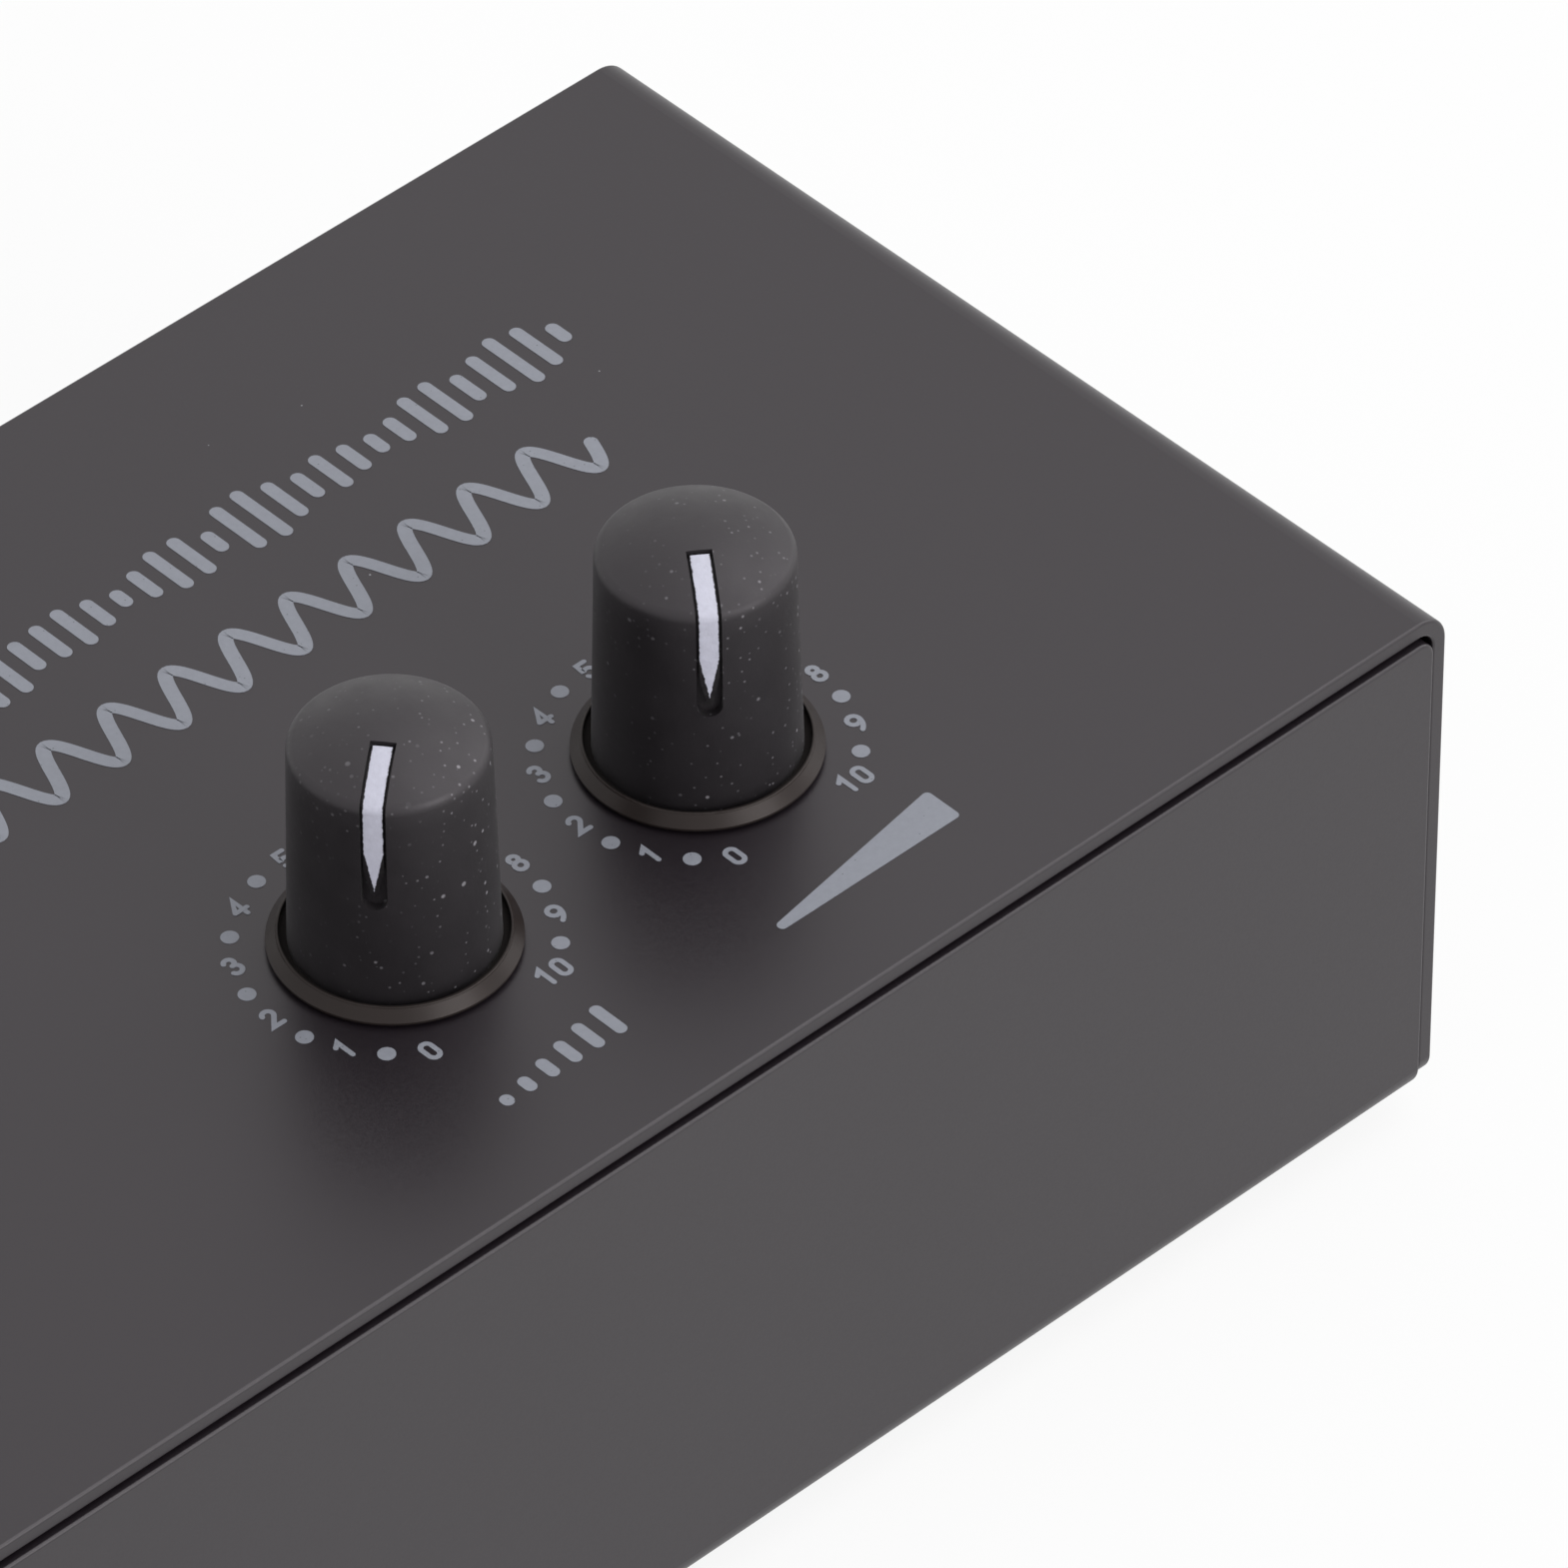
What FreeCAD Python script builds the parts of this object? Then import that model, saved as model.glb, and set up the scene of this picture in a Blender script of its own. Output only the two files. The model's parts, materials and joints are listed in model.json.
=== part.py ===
"""Desktop phono preamp: a folded sheet-metal case with two rotary controls on its top.

Millimetres. The origin is the centre of the whole object's box, at the height the feet stand on.
+X is to the right along the front panel, +Y is to the rear and +Z is up.
"""
import FreeCAD, Part
import Sketcher
import os

os.makedirs("parts", exist_ok=True)
doc = FreeCAD.newDocument("phono_preamp")
Vector = FreeCAD.Vector
Rotation = FreeCAD.Rotation

# Driving dimensions. Each becomes one cell of the spreadsheet, under its own name.
DRIVING_SIZES = {
    # Case
    "case_width": 130.0,            # across the outside of the cover
    "case_depth": 75.0,             # front edge to rear edge of the cover
    "case_height": 40.0,            # underside of the chassis to the top of the cover
    "metal": 1.2,                   # thickness of the folded steel
    "cover_bend": 2.4,              # outside radius of the cover's two bends
    "cover_lift": 0.15,             # how far the cover's sides stop above the underside
    "cover_corner": 1.8,            # rounding of the lower corners of the cover's sides
    "chassis_bend": 2.0,            # outside radius of the chassis bends
    "front_panel_reach": 0.4,       # front panel stands this far out of the cover's edge
    "rear_panel_recess": 0.1,       # rear panel lies this far inside the cover's edge
    "panel_side_gap": 0.25,         # panel to the inside of the cover's side
    "panel_top_gap": 0.25,          # panel to the inside of the cover's top
    "panel_corner": 1.2,            # rounding of the panels' upper corners
    "paint_edge": 0.22,             # rounding that the paint gives to a cut edge
    # Feet
    "foot_radius": 5.0,
    "foot_height": 2.5,
    "foot_inset_side": 12.0,        # foot centre from the case's side
    "foot_inset_end": 11.0,         # foot centre from the case's front or rear edge
    "foot_draft": 0.6,              # how much narrower a foot is where it meets the table
    # Cover screws
    "side_tab_width": 14.0,
    "side_tab_height": 13.0,
    "side_screw_inset": 18.0,       # screw axis from the case's front or rear edge
    "side_screw_height": 8.0,       # screw axis above the chassis underside
    "screw_radius": 1.5,
    "screw_head_radius": 2.8,
    "screw_head_height": 1.7,
    "side_screw_length": 5.0,
    "screw_clearance": 0.2,         # radial, in a plain hole
    "thread_clearance": 0.05,       # radial, in a tapped hole
    "recess_width": 0.7,            # slot of a screw's cross recess
    "recess_depth": 0.9,
    # Where the controls are
    "control_inset": 42.5,          # volume control's axis from the case's right side
    "control_pitch": 25.0,
    "control_setback": 22.5,        # control axis from the case's front edge
    "dial_half_turn": 150.0,        # degrees each side of the rear direction
    "level_rest_turn": 21.5,        # degrees clockwise from the zero stop
    "volume_rest_turn": 5.5,
    # Knob, heights measured from the cover's top face
    "knob_lift": 0.3,
    "flange_radius": 7.85,          # foot of the sloping flange
    "flange_edge": 0.15,            # upright part of the flange's foot
    "flange_top": 1.2,
    "lip_radius": 7.25,             # upper edge of the flange's slope
    "lip_round": 0.1,
    "groove_outer_radius": 7.05,
    "groove_floor": 0.7,
    "skin_base_radius": 6.55,
    "skin_shoulder_radius": 6.2,
    "shoulder_round": 0.8,
    "dome_radius": 12.4,
    "knob_height": 17.8,
    "core_step_radius": 5.9,
    "core_step_height": 3.4,
    "core_radius": 5.35,
    "core_height": 15.2,
    "nut_pocket_radius": 5.4,
    "nut_pocket_height": 2.8,
    "skin_clearance": 0.03,
    "slot_width": 1.6,
    "slot_depth": 0.6,
    "slot_start": 1.7,              # inner end of the pointer slot, from the knob's axis
    "slot_foot": 8.3,               # lower end of the slot on the knob's side
    "pointer_width": 1.25,
    "pointer_sink": 0.12,
    "pointer_end_gap": 0.25,        # pointer to the slot's inner end
    "pointer_tip": 9.1,
    "pointer_tip_width": 0.3,
    "pointer_taper": 2.2,
    # Potentiometer
    "shaft_radius": 3.0,
    "shaft_flat": 1.5,              # flat of the D shaft, from its axis
    "shaft_top": 12.0,              # above the cover's top face
    "shaft_clearance": 0.04,
    "bush_radius": 3.5,
    "bush_top": 2.5,
    "bush_hole_clearance": 0.2,
    "pot_plate": 1.0,
    "pot_width": 15.0,
    "pot_can_radius": 7.4,
    "pot_can_wall": 0.5,
    "pot_can_height": 6.0,
    "wafer_thickness": 1.2,
    "wiper_radius": 5.8,
    "wiper_thickness": 1.0,
    "wiper_gap": 0.4,
    "washer_thickness": 0.3,
    "washer_radius": 4.9,
    "nut_across_flats": 9.0,
    "nut_thickness": 1.8,
    "terminal_pitch": 4.0,
    "terminal_width": 1.0,
    "terminal_thickness": 0.5,
    "terminal_offset": 5.0,         # behind the control axis
    "terminal_end": 0.8,            # how far a terminal comes through its board
    "lead_clearance": 0.15,
    # Boards
    "board_thickness": 1.6,
    "board_inset_side": 6.0,
    "board_inset_front": 6.0,
    "board_rear_gap": 0.8,
    "standoff_height": 7.0,
    "standoff_across_flats": 5.0,
    "standoff_inset": 5.0,          # from the board's sides and front
    "standoff_rear_inset": 17.0,    # from the inside of the rear panel
    "board_screw_length": 6.5,
    "control_board_drop": 2.0,      # from the wafer's lower face
    "control_board_width": 58.0,
    "control_board_depth": 22.0,
    "link_pins": 8,
    "link_pitch": 2.54,
    "link_pin_width": 0.64,
    "link_base_height": 2.5,
    "link_base_depth": 2.5,
    "link_offset": 8.5,             # behind the control axes
    # Rear connectors
    "rear_reach": 12.4,             # end of the ground post behind the case
    "input_jacks_inset": 20.0,      # middle of the input pair from the case's left side
    "output_jacks_step": 41.0,      # middle of the input pair to middle of the output pair
    "jack_pitch": 14.0,
    "jack_axis_height": 8.0,        # above the main board
    "jack_body_depth": 11.0,
    "jack_body_height": 14.0,
    "jack_body_margin": 6.0,        # outside a jack's axis
    "jack_shell_radius": 4.15,
    "jack_shell_wall": 0.45,
    "jack_shell_reach": 8.5,        # behind the rear panel
    "jack_collar": 0.75,            # how much stouter the shell is where it passes the panel
    "jack_hole_clearance": 0.15,
    "jack_root": 2.0,               # how deep a jack's shell sits in its housing
    "jack_insert_sink": 0.5,
    "jack_contact_radius": 1.6,
    "jack_contact_wall": 0.35,
    "jack_fit": 0.02,
    "ground_radius": 2.0,
    "ground_nut_across_flats": 7.0,
    "ground_nut_thickness": 3.0,
    "ground_washer_radius": 4.6,
    "ground_washer_thickness": 0.8,
    "thumb_nut_radius": 4.8,
    "thumb_nut_length": 6.0,
    "thumb_nut_grooves": 18,
    "thumb_groove_radius": 0.5,
    "thumb_clearance": 0.05,
    "power_offset": -0.5,           # from midway between the output jacks and the button
    "power_body_width": 9.0,
    "power_body_height": 11.0,
    "power_body_depth": 13.0,
    "power_nose_radius": 4.0,
    "power_nose_reach": 0.5,        # behind the rear panel
    "power_socket_radius": 3.15,
    "power_socket_depth": 9.5,
    "power_pin_radius": 1.05,
    "power_pin_sink": 0.8,
    "button_inset": 19.0,           # from the case's right side
    "button_radius": 3.5,
    "button_reach": 5.5,
    "button_root": 0.4,             # cap's inner end, inside the rear panel
    "button_travel": 3.0,
    "button_clearance": 0.3,
    "button_stem_width": 3.4,
    "button_stem_length": 9.0,
    "stem_clearance": 0.15,
    "switch_stop_gap": 0.6,         # cap to switch body when it is pushed home
    "switch_body_width": 9.0,
    "switch_body_height": 9.0,
    "switch_body_depth": 14.0,
    # Indicator
    "led_inset": 20.0,              # from the case's left side
    "led_height": 20.0,             # above the chassis underside
    "led_pipe_radius": 1.5,
    "led_pipe_length": 5.0,
    "led_collar_radius": 2.1,
    "led_collar_length": 1.0,
    "led_gap": 0.1,
    "led_body_radius": 2.0,
    "led_body_length": 5.0,
    "led_leg_width": 0.5,
    "led_leg_pitch": 2.54,
    # Parts on the main board
    "chip_length": 9.8,
    "chip_width": 6.4,
    "chip_height": 3.4,
    "chip_stand": 0.5,
    "chip_leg_width": 0.5,
    "chip_leg_pitch": 2.54,
    "chip_x": -4.0,
    "chip_y": 4.0,                  # behind the case's middle
    "can_radius": 4.0,
    "can_height": 11.0,
    "can_pitch": 11.0,
    "can_gap": 3.84,                # from the pin row's end to the nearest can
    "can_y": -4.0,
    "film_length": 7.2,
    "film_width": 2.8,
    "film_height": 6.5,
    "film_pitch": 6.0,
    "film_inset": 11.0,             # from the board's left side
    "film_y": -14.0,
    "resistor_radius": 1.1,
    "resistor_length": 6.2,
    "resistor_pitch": 4.0,
    "resistor_row_pitch": 10.0,
    "resistor_lead_reach": 0.6,
    "resistor_inset": 13.0,         # from the board's left side
    "resistor_y": 3.0,
    "resistor_lead_radius": 0.3,
    "regulator_width": 10.0,
    "regulator_depth": 4.4,
    "regulator_body_height": 9.0,
    "regulator_tab_depth": 1.3,
    "regulator_tab_height": 6.0,
    "regulator_leg_width": 0.8,
    "regulator_leg_pitch": 2.54,
    "regulator_inset": 9.0,         # from the board's right side
    "regulator_y": 0.0,
    "regulator_stand": 2.0,
}


class Size:
    """A length that knows its number and the spreadsheet formula that gives it."""

    def __init__(self, number, formula):
        self.number = float(number)
        self.formula = formula

    def joined(self, sign, other, number, swapped=False):
        left, right = self.formula, formula_of(other)
        if swapped:
            left, right = right, left
        return Size(number, "(" + left + " " + sign + " " + right + ")")

    def __add__(self, other):
        return self.joined("+", other, self.number + number_of(other))

    def __radd__(self, other):
        return self.joined("+", other, number_of(other) + self.number, True)

    def __sub__(self, other):
        return self.joined("-", other, self.number - number_of(other))

    def __rsub__(self, other):
        return self.joined("-", other, number_of(other) - self.number, True)

    def __mul__(self, other):
        return self.joined("*", other, self.number * number_of(other))

    def __rmul__(self, other):
        return self.joined("*", other, number_of(other) * self.number, True)

    def __truediv__(self, other):
        return self.joined("/", other, self.number / number_of(other))

    def __neg__(self):
        return Size(-self.number, "(-" + self.formula + ")")

    def root(self):
        """The square root."""
        return Size(self.number ** 0.5, "sqrt(" + self.formula + ")")


def number_of(amount):
    """The number in a Size or in a plain number."""
    return amount.number if isinstance(amount, Size) else float(amount)


def formula_of(amount):
    """The spreadsheet formula of a Size or of a plain number."""
    return amount.formula if isinstance(amount, Size) else repr(float(amount))


def make_sheet():
    """Write the driving dimensions to a spreadsheet and return them as Sizes by name."""
    sheet = doc.addObject("Spreadsheet::Sheet", "Sizes")
    sizes = {}
    for row, (name, number) in enumerate(DRIVING_SIZES.items(), start=1):
        sheet.set("A%d" % row, name)
        sheet.set("B%d" % row, str(number))
        sheet.setAlias("B%d" % row, name)
        sizes[name] = Size(number, "Sizes." + name)
    doc.recompute()
    return type("Sizes", (), sizes)


S = make_sheet()

# Planes that many pieces share, worked out from the driving dimensions
SIDE = S.case_width / 2
FRONT = -(S.case_depth + S.rear_reach - S.front_panel_reach) / 2
REAR = FRONT + S.case_depth
MIDDLE = (FRONT + REAR) / 2
UNDERSIDE = S.foot_height
FLOOR = UNDERSIDE + S.metal
TOP = UNDERSIDE + S.case_height
CEILING = TOP - S.metal
FRONT_PANEL = FRONT - S.front_panel_reach
REAR_PANEL = REAR - S.rear_panel_recess
REAR_INSIDE = REAR_PANEL - S.metal
PANEL_SIDE = SIDE - S.metal - S.panel_side_gap
PANEL_TOP = CEILING - S.panel_top_gap
BOARD_LOW = FLOOR + S.standoff_height
BOARD_TOP = BOARD_LOW + S.board_thickness
BOARD_SIDE = SIDE - S.board_inset_side
BOARD_FRONT = FRONT + S.board_inset_front
REAR_END = REAR + S.rear_reach
VOLUME_X = SIDE - S.control_inset
LEVEL_X = VOLUME_X - S.control_pitch
CONTROL_MIDDLE_X = (LEVEL_X + VOLUME_X) / 2
CONTROL_Y = FRONT + S.control_setback
POT_PLATE_LOW = CEILING - S.pot_plate
WAFER_TOP = POT_PLATE_LOW - S.pot_can_height
WAFER_LOW = WAFER_TOP - S.wafer_thickness
CONTROL_BOARD_TOP = WAFER_LOW - S.control_board_drop
CONTROL_BOARD_LOW = CONTROL_BOARD_TOP - S.board_thickness
LINK_Y = CONTROL_Y + S.link_offset
LINK_END_X = CONTROL_MIDDLE_X + S.link_pins * S.link_pitch / 2
JACK_Z = BOARD_TOP + S.jack_axis_height
JACK_END = REAR_PANEL + S.jack_shell_reach
POWER_Z = BOARD_TOP + S.power_body_height / 2
POWER_END = REAR_PANEL + S.power_nose_reach
BUTTON_Z = BOARD_TOP + S.switch_body_height / 2
CAP_ROOT = REAR_INSIDE - S.button_root
LED_X = S.led_inset - SIDE
LED_Z = UNDERSIDE + S.led_height
SCREW_Z = UNDERSIDE + S.side_screw_height
SIDE_SCREW_YS = (FRONT + S.side_screw_inset, REAR - S.side_screw_inset)
INPUT_JACKS_X = S.input_jacks_inset - SIDE
OUTPUT_JACKS_X = INPUT_JACKS_X + S.output_jacks_step
JACKS = {
    "input_left": INPUT_JACKS_X - S.jack_pitch / 2,
    "input_right": INPUT_JACKS_X + S.jack_pitch / 2,
    "output_left": OUTPUT_JACKS_X - S.jack_pitch / 2,
    "output_right": OUTPUT_JACKS_X + S.jack_pitch / 2,
}
GROUND_X = (INPUT_JACKS_X + OUTPUT_JACKS_X) / 2
BUTTON_X = SIDE - S.button_inset
POWER_X = (JACKS["output_right"] + BUTTON_X) / 2 + S.power_offset
FILM_X = S.film_inset - BOARD_SIDE
RESISTOR_X = S.resistor_inset - BOARD_SIDE
CAN_X = LINK_END_X + S.can_gap + S.can_radius
REGULATOR_X = BOARD_SIDE - S.regulator_inset
STANDOFFS = [(side * (BOARD_SIDE - S.standoff_inset), y) for side in (-1, 1)
             for y in (BOARD_FRONT + S.standoff_inset, REAR_INSIDE - S.standoff_rear_inset)]


# Building blocks: each returns a document object whose sizes are bound to the sheet

def bind(thing, prop, amount):
    """Give a property its value, as a spreadsheet formula where there is one."""
    if isinstance(amount, Size):
        thing.setExpression(prop, amount.formula)
    else:
        setattr(thing, prop, amount)


def place(thing, at, axis=None, turn=0):
    """Put a thing at a point, turned by an angle about an axis."""
    rotation = Rotation(axis or Vector(0, 0, 1), number_of(turn))
    thing.Placement = FreeCAD.Placement(Vector(*[number_of(c) for c in at]), rotation)
    for letter, amount in zip("xyz", at):
        if isinstance(amount, Size):
            thing.setExpression("Placement.Base." + letter, amount.formula)
    if isinstance(turn, Size):
        thing.setExpression("Placement.Rotation.Angle", turn.formula)
    return thing


def box(low, high, name="box"):
    """A block between two corners."""
    block = doc.addObject("Part::Box", name)
    for prop, a, b in zip(("Length", "Width", "Height"), low, high):
        bind(block, prop, b - a)
    return place(block, low)


ALONG = {"x": (Vector(0, 1, 0), 90), "y": (Vector(1, 0, 0), -90), "z": (Vector(0, 0, 1), 0)}


def rod(at, radius, length, along="z", name="rod"):
    """A round bar that starts at a point and runs the given way along one axis."""
    bar = doc.addObject("Part::Cylinder", name)
    bind(bar, "Radius", radius)
    bind(bar, "Height", length)
    axis, turn = ALONG[along]
    return place(bar, at, axis, turn)


def hexagon(at, across_flats, length, along="z", name="hexagon"):
    """A six-sided bar that starts at a point and runs the given way along one axis."""
    prism = doc.addObject("Part::Prism", name)
    prism.Polygon = 6
    bind(prism, "Circumradius", across_flats * 0.5773503)
    bind(prism, "Height", length)
    axis, turn = ALONG[along]
    return place(prism, at, axis, turn)


def fuse(pieces, name="joined"):
    """Several pieces as one, or as one group where they don't touch."""
    whole = doc.addObject("Part::MultiFuse", name)
    whole.Shapes = pieces
    return whole


def cut(base, tools, name="cut"):
    """A piece with one or more others taken away."""
    rest = doc.addObject("Part::Cut", name)
    rest.Base = base
    rest.Tool = tools[0] if len(tools) == 1 else fuse(tools)
    return rest


def common(first, second, name="overlap"):
    """The space that two pieces share."""
    shared = doc.addObject("Part::MultiCommon", name)
    shared.Shapes = [first, second]
    return shared


def group(pieces, name):
    """Separate solids that share one node."""
    together = doc.addObject("Part::Compound", name)
    together.Links = pieces
    return together


def rounded(base, wanted, radius, name="rounded"):
    """Round the edges of a piece that the test picks."""
    doc.recompute()
    smooth = doc.addObject("Part::Fillet", name)
    smooth.Base = base
    picked = [i for i, edge in enumerate(base.Shape.Edges, start=1) if wanted(edge)]
    smooth.Edges = [(i, number_of(radius), number_of(radius)) for i in picked]
    return smooth


def near(a, b):
    """Whether two lengths are the same place."""
    return abs(number_of(a) - number_of(b)) < 1e-4


def flat_at(edge, letter, amount):
    """Whether the whole edge lies in the plane where one coordinate has this value."""
    low = getattr(edge.BoundBox, letter.upper() + "Min")
    high = getattr(edge.BoundBox, letter.upper() + "Max")
    return near(low, amount) and near(high, amount)


def arc_middle(start, end, radius):
    """Middle point of an arc; a positive radius bulges to the right of the way it runs."""
    chord = end - start
    half = chord.Length / 2
    size = abs(radius)
    rise = size - (size * size - half * half) ** 0.5
    right = Vector(chord.y, -chord.x, 0).normalize()
    return (start + end) / 2 + right * (rise if radius > 0 else -rise)


def outline(body, plane, corners):
    """A closed sketch through corners (across, up) or (across, up, radius of the arc that ends there).

    A coordinate is a Size, or 0 for a corner on the axis.
    """
    sketch = body.newObject("Sketcher::SketchObject", body.Name + "_outline")
    support = [f for f in body.Origin.OriginFeatures if f.Role == plane + "_Plane"][0]
    sketch.AttachmentSupport = [(support, "")]
    sketch.MapMode = "FlatFace"
    points = [Vector(number_of(c[0]), number_of(c[1]), 0) for c in corners]
    arcs = {}
    for i, corner in enumerate(corners):
        start, end = points[i - 1], points[i]
        if len(corner) > 2:
            curve = Part.Arc(start, arc_middle(start, end, number_of(corner[2])), end)
            arcs[i] = corner[2]
        else:
            curve = Part.LineSegment(start, end)
        sketch.addGeometry(curve, False)
    # A sketch keeps its arcs anticlockwise, so one that runs the other way ends at its first point
    ends = [2 if (sketch.getPoint(i, 2) - point).Length < 1e-6 else 1 for i, point in enumerate(points)]
    for i, corner in enumerate(corners):
        following = (i + 1) % len(corners)
        sketch.addConstraint(Sketcher.Constraint("Coincident", i, ends[i], following, 3 - ends[following]))
        for kind, axis, amount in (("DistanceX", -2, corner[0]), ("DistanceY", -1, corner[1])):
            if isinstance(amount, Size):
                rule = Sketcher.Constraint(kind, i, ends[i], amount.number)
                number = sketch.addConstraint(rule)
                sketch.setExpression("Constraints[%d]" % number, amount.formula)
            else:
                sketch.addConstraint(Sketcher.Constraint("PointOnObject", i, ends[i], axis))
    for i, radius in arcs.items():
        size = radius if number_of(radius) > 0 else -radius
        number = sketch.addConstraint(Sketcher.Constraint("Radius", i, size.number))
        sketch.setExpression("Constraints[%d]" % number, size.formula)
    return sketch


def turned(corners, at, along="z", name="turned"):
    """A piece turned on a lathe: corners are (radius, height), and height runs along the axis."""
    body = doc.addObject("PartDesign::Body", name)
    sketch = outline(body, "XZ", corners)
    lathe = body.newObject("PartDesign::Revolution", name + "_lathe")
    lathe.Profile = sketch
    lathe.ReferenceAxis = (sketch, ["V_Axis"])
    lathe.Angle = 360
    axis, turn = ALONG[along]
    return place(body, at, axis, turn)


def folded(corners, plane, length, at, name="folded"):
    """A sheet-metal profile run evenly both ways from its plane."""
    body = doc.addObject("PartDesign::Body", name)
    pad = body.newObject("PartDesign::Pad", name + "_run")
    pad.Profile = outline(body, plane, corners)
    pad.SideType = "Symmetric"
    bind(pad, "Length", length)
    body.Tip = pad
    return place(body, at)


# Case

def top_cover():
    """U-shaped cover: top and two sides, open at the front, rear and bottom."""
    low = UNDERSIDE + S.cover_lift
    inner_side = SIDE - S.metal
    inner_bend = S.cover_bend - S.metal
    sheet = folded([
        (-SIDE, low),
        (-inner_side, low),
        (-inner_side, CEILING - inner_bend),
        (inner_bend - inner_side, CEILING, -inner_bend),
        (inner_side - inner_bend, CEILING),
        (inner_side, CEILING - inner_bend, -inner_bend),
        (inner_side, low),
        (SIDE, low),
        (SIDE, TOP - S.cover_bend),
        (SIDE - S.cover_bend, TOP, S.cover_bend),
        (S.cover_bend - SIDE, TOP),
        (-SIDE, TOP - S.cover_bend, S.cover_bend),
    ], "XZ", S.case_depth, (0, MIDDLE, 0), "cover_sheet")

    def at_open_end(edge):
        return flat_at(edge, "y", FRONT) or flat_at(edge, "y", REAR)

    sheet = rounded(sheet, lambda e: at_open_end(e) and flat_at(e, "z", low), S.cover_corner, "cover_corners")
    sheet = rounded(sheet, lambda e: at_open_end(e) and not flat_at(e, "z", low + S.cover_corner),
                    S.paint_edge, "cover_paint")
    holes = [rod((x, CONTROL_Y, CEILING - 1), S.bush_radius + S.bush_hole_clearance, S.metal + 2)
             for x in (LEVEL_X, VOLUME_X)]
    holes += side_holes(S.screw_radius + S.screw_clearance)
    return cut(sheet, holes, "top_cover")


def side_holes(radius):
    """Two long rods that drill the case's side screw holes, left and right at once."""
    return [rod((-SIDE - 1, y, SCREW_Z), radius, S.case_width + 2, "x") for y in SIDE_SCREW_YS]


def chassis():
    """Bottom with front and rear panels folded up from it, and side tabs for the cover's screws."""
    inner_bend = S.chassis_bend - S.metal
    sheet = folded([
        (FRONT_PANEL + S.chassis_bend, UNDERSIDE, S.chassis_bend),
        (REAR_PANEL - S.chassis_bend, UNDERSIDE),
        (REAR_PANEL, UNDERSIDE + S.chassis_bend, S.chassis_bend),
        (REAR_PANEL, PANEL_TOP),
        (REAR_INSIDE, PANEL_TOP),
        (REAR_INSIDE, FLOOR + inner_bend),
        (REAR_INSIDE - inner_bend, FLOOR, -inner_bend),
        (FRONT_PANEL + S.chassis_bend, FLOOR),
        (FRONT_PANEL + S.metal, FLOOR + inner_bend, -inner_bend),
        (FRONT_PANEL + S.metal, PANEL_TOP),
        (FRONT_PANEL, PANEL_TOP),
        (FRONT_PANEL, UNDERSIDE + S.chassis_bend),
    ], "YZ", PANEL_SIDE * 2, (0, 0, 0), "chassis_sheet")

    def at_upper_corner(edge):
        at_side = flat_at(edge, "x", PANEL_SIDE) or flat_at(edge, "x", -PANEL_SIDE)
        return at_side and flat_at(edge, "z", PANEL_TOP)

    def on_panel_face(edge):
        outside = flat_at(edge, "y", FRONT_PANEL) or flat_at(edge, "y", REAR_PANEL)
        return outside and not flat_at(edge, "z", UNDERSIDE + S.chassis_bend)

    sheet = rounded(sheet, at_upper_corner, S.panel_corner, "panel_corners")
    sheet = rounded(sheet, on_panel_face, S.paint_edge, "panel_paint")
    tabs = []
    for y in SIDE_SCREW_YS:
        for left, right in ((-PANEL_SIDE, S.metal - PANEL_SIDE), (PANEL_SIDE - S.metal, PANEL_SIDE)):
            tabs.append(box((left, y - S.side_tab_width / 2, UNDERSIDE + S.metal / 2),
                            (right, y + S.side_tab_width / 2, UNDERSIDE + S.side_tab_height)))
    holes = side_holes(S.screw_radius + S.thread_clearance)
    jack_hole = S.jack_shell_radius + S.jack_collar + S.jack_hole_clearance
    rear_holes = [(x, JACK_Z, jack_hole) for x in JACKS.values()]
    rear_holes += [(GROUND_X, JACK_Z, S.ground_radius + S.screw_clearance),
                   (POWER_X, POWER_Z, S.power_nose_radius + S.screw_clearance),
                   (BUTTON_X, BUTTON_Z, S.button_radius + S.button_clearance)]
    holes += [rod((x, REAR_INSIDE - 1, z), radius, S.metal + 2, "y") for x, z, radius in rear_holes]
    holes.append(rod((LED_X, FRONT_PANEL - 1, LED_Z), S.led_pipe_radius + S.lead_clearance, S.metal + 2, "y"))
    return cut(fuse([sheet] + tabs), holes, "chassis")


def cover_screws():
    """Four pan-head screws that hold the cover's sides to the chassis tabs."""
    head_end = SIDE + S.screw_head_height
    arm = S.screw_radius
    half = S.recess_width / 2
    right = (SIDE - S.side_screw_length, SIDE, head_end - S.recess_depth, head_end + 1)
    left = (-SIDE, -head_end, -head_end - 1, S.recess_depth - head_end)
    screws = []
    for y in SIDE_SCREW_YS:
        for shank, head, low, high in (right, left):
            screw = fuse([rod((shank, y, SCREW_Z), S.screw_radius, S.side_screw_length, "x"),
                          rod((head, y, SCREW_Z), S.screw_head_radius, S.screw_head_height, "x")])
            slots = [box((low, y - arm, SCREW_Z - half), (high, y + arm, SCREW_Z + half)),
                     box((low, y - half, SCREW_Z - arm), (high, y + half, SCREW_Z + arm))]
            screws.append(cut(screw, slots))
    return group(screws, "cover_screws")


def foot(name, x, y):
    """Stick-on rubber foot, narrower where it meets the table."""
    narrow = S.foot_radius - S.foot_draft
    return turned([(0, 0), (narrow, 0), (S.foot_radius, UNDERSIDE), (0, UNDERSIDE)], (x, y, 0), name=name)


# Knobs, each built about its own axis with its pointer towards the rear, from the cover's top face up

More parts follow.
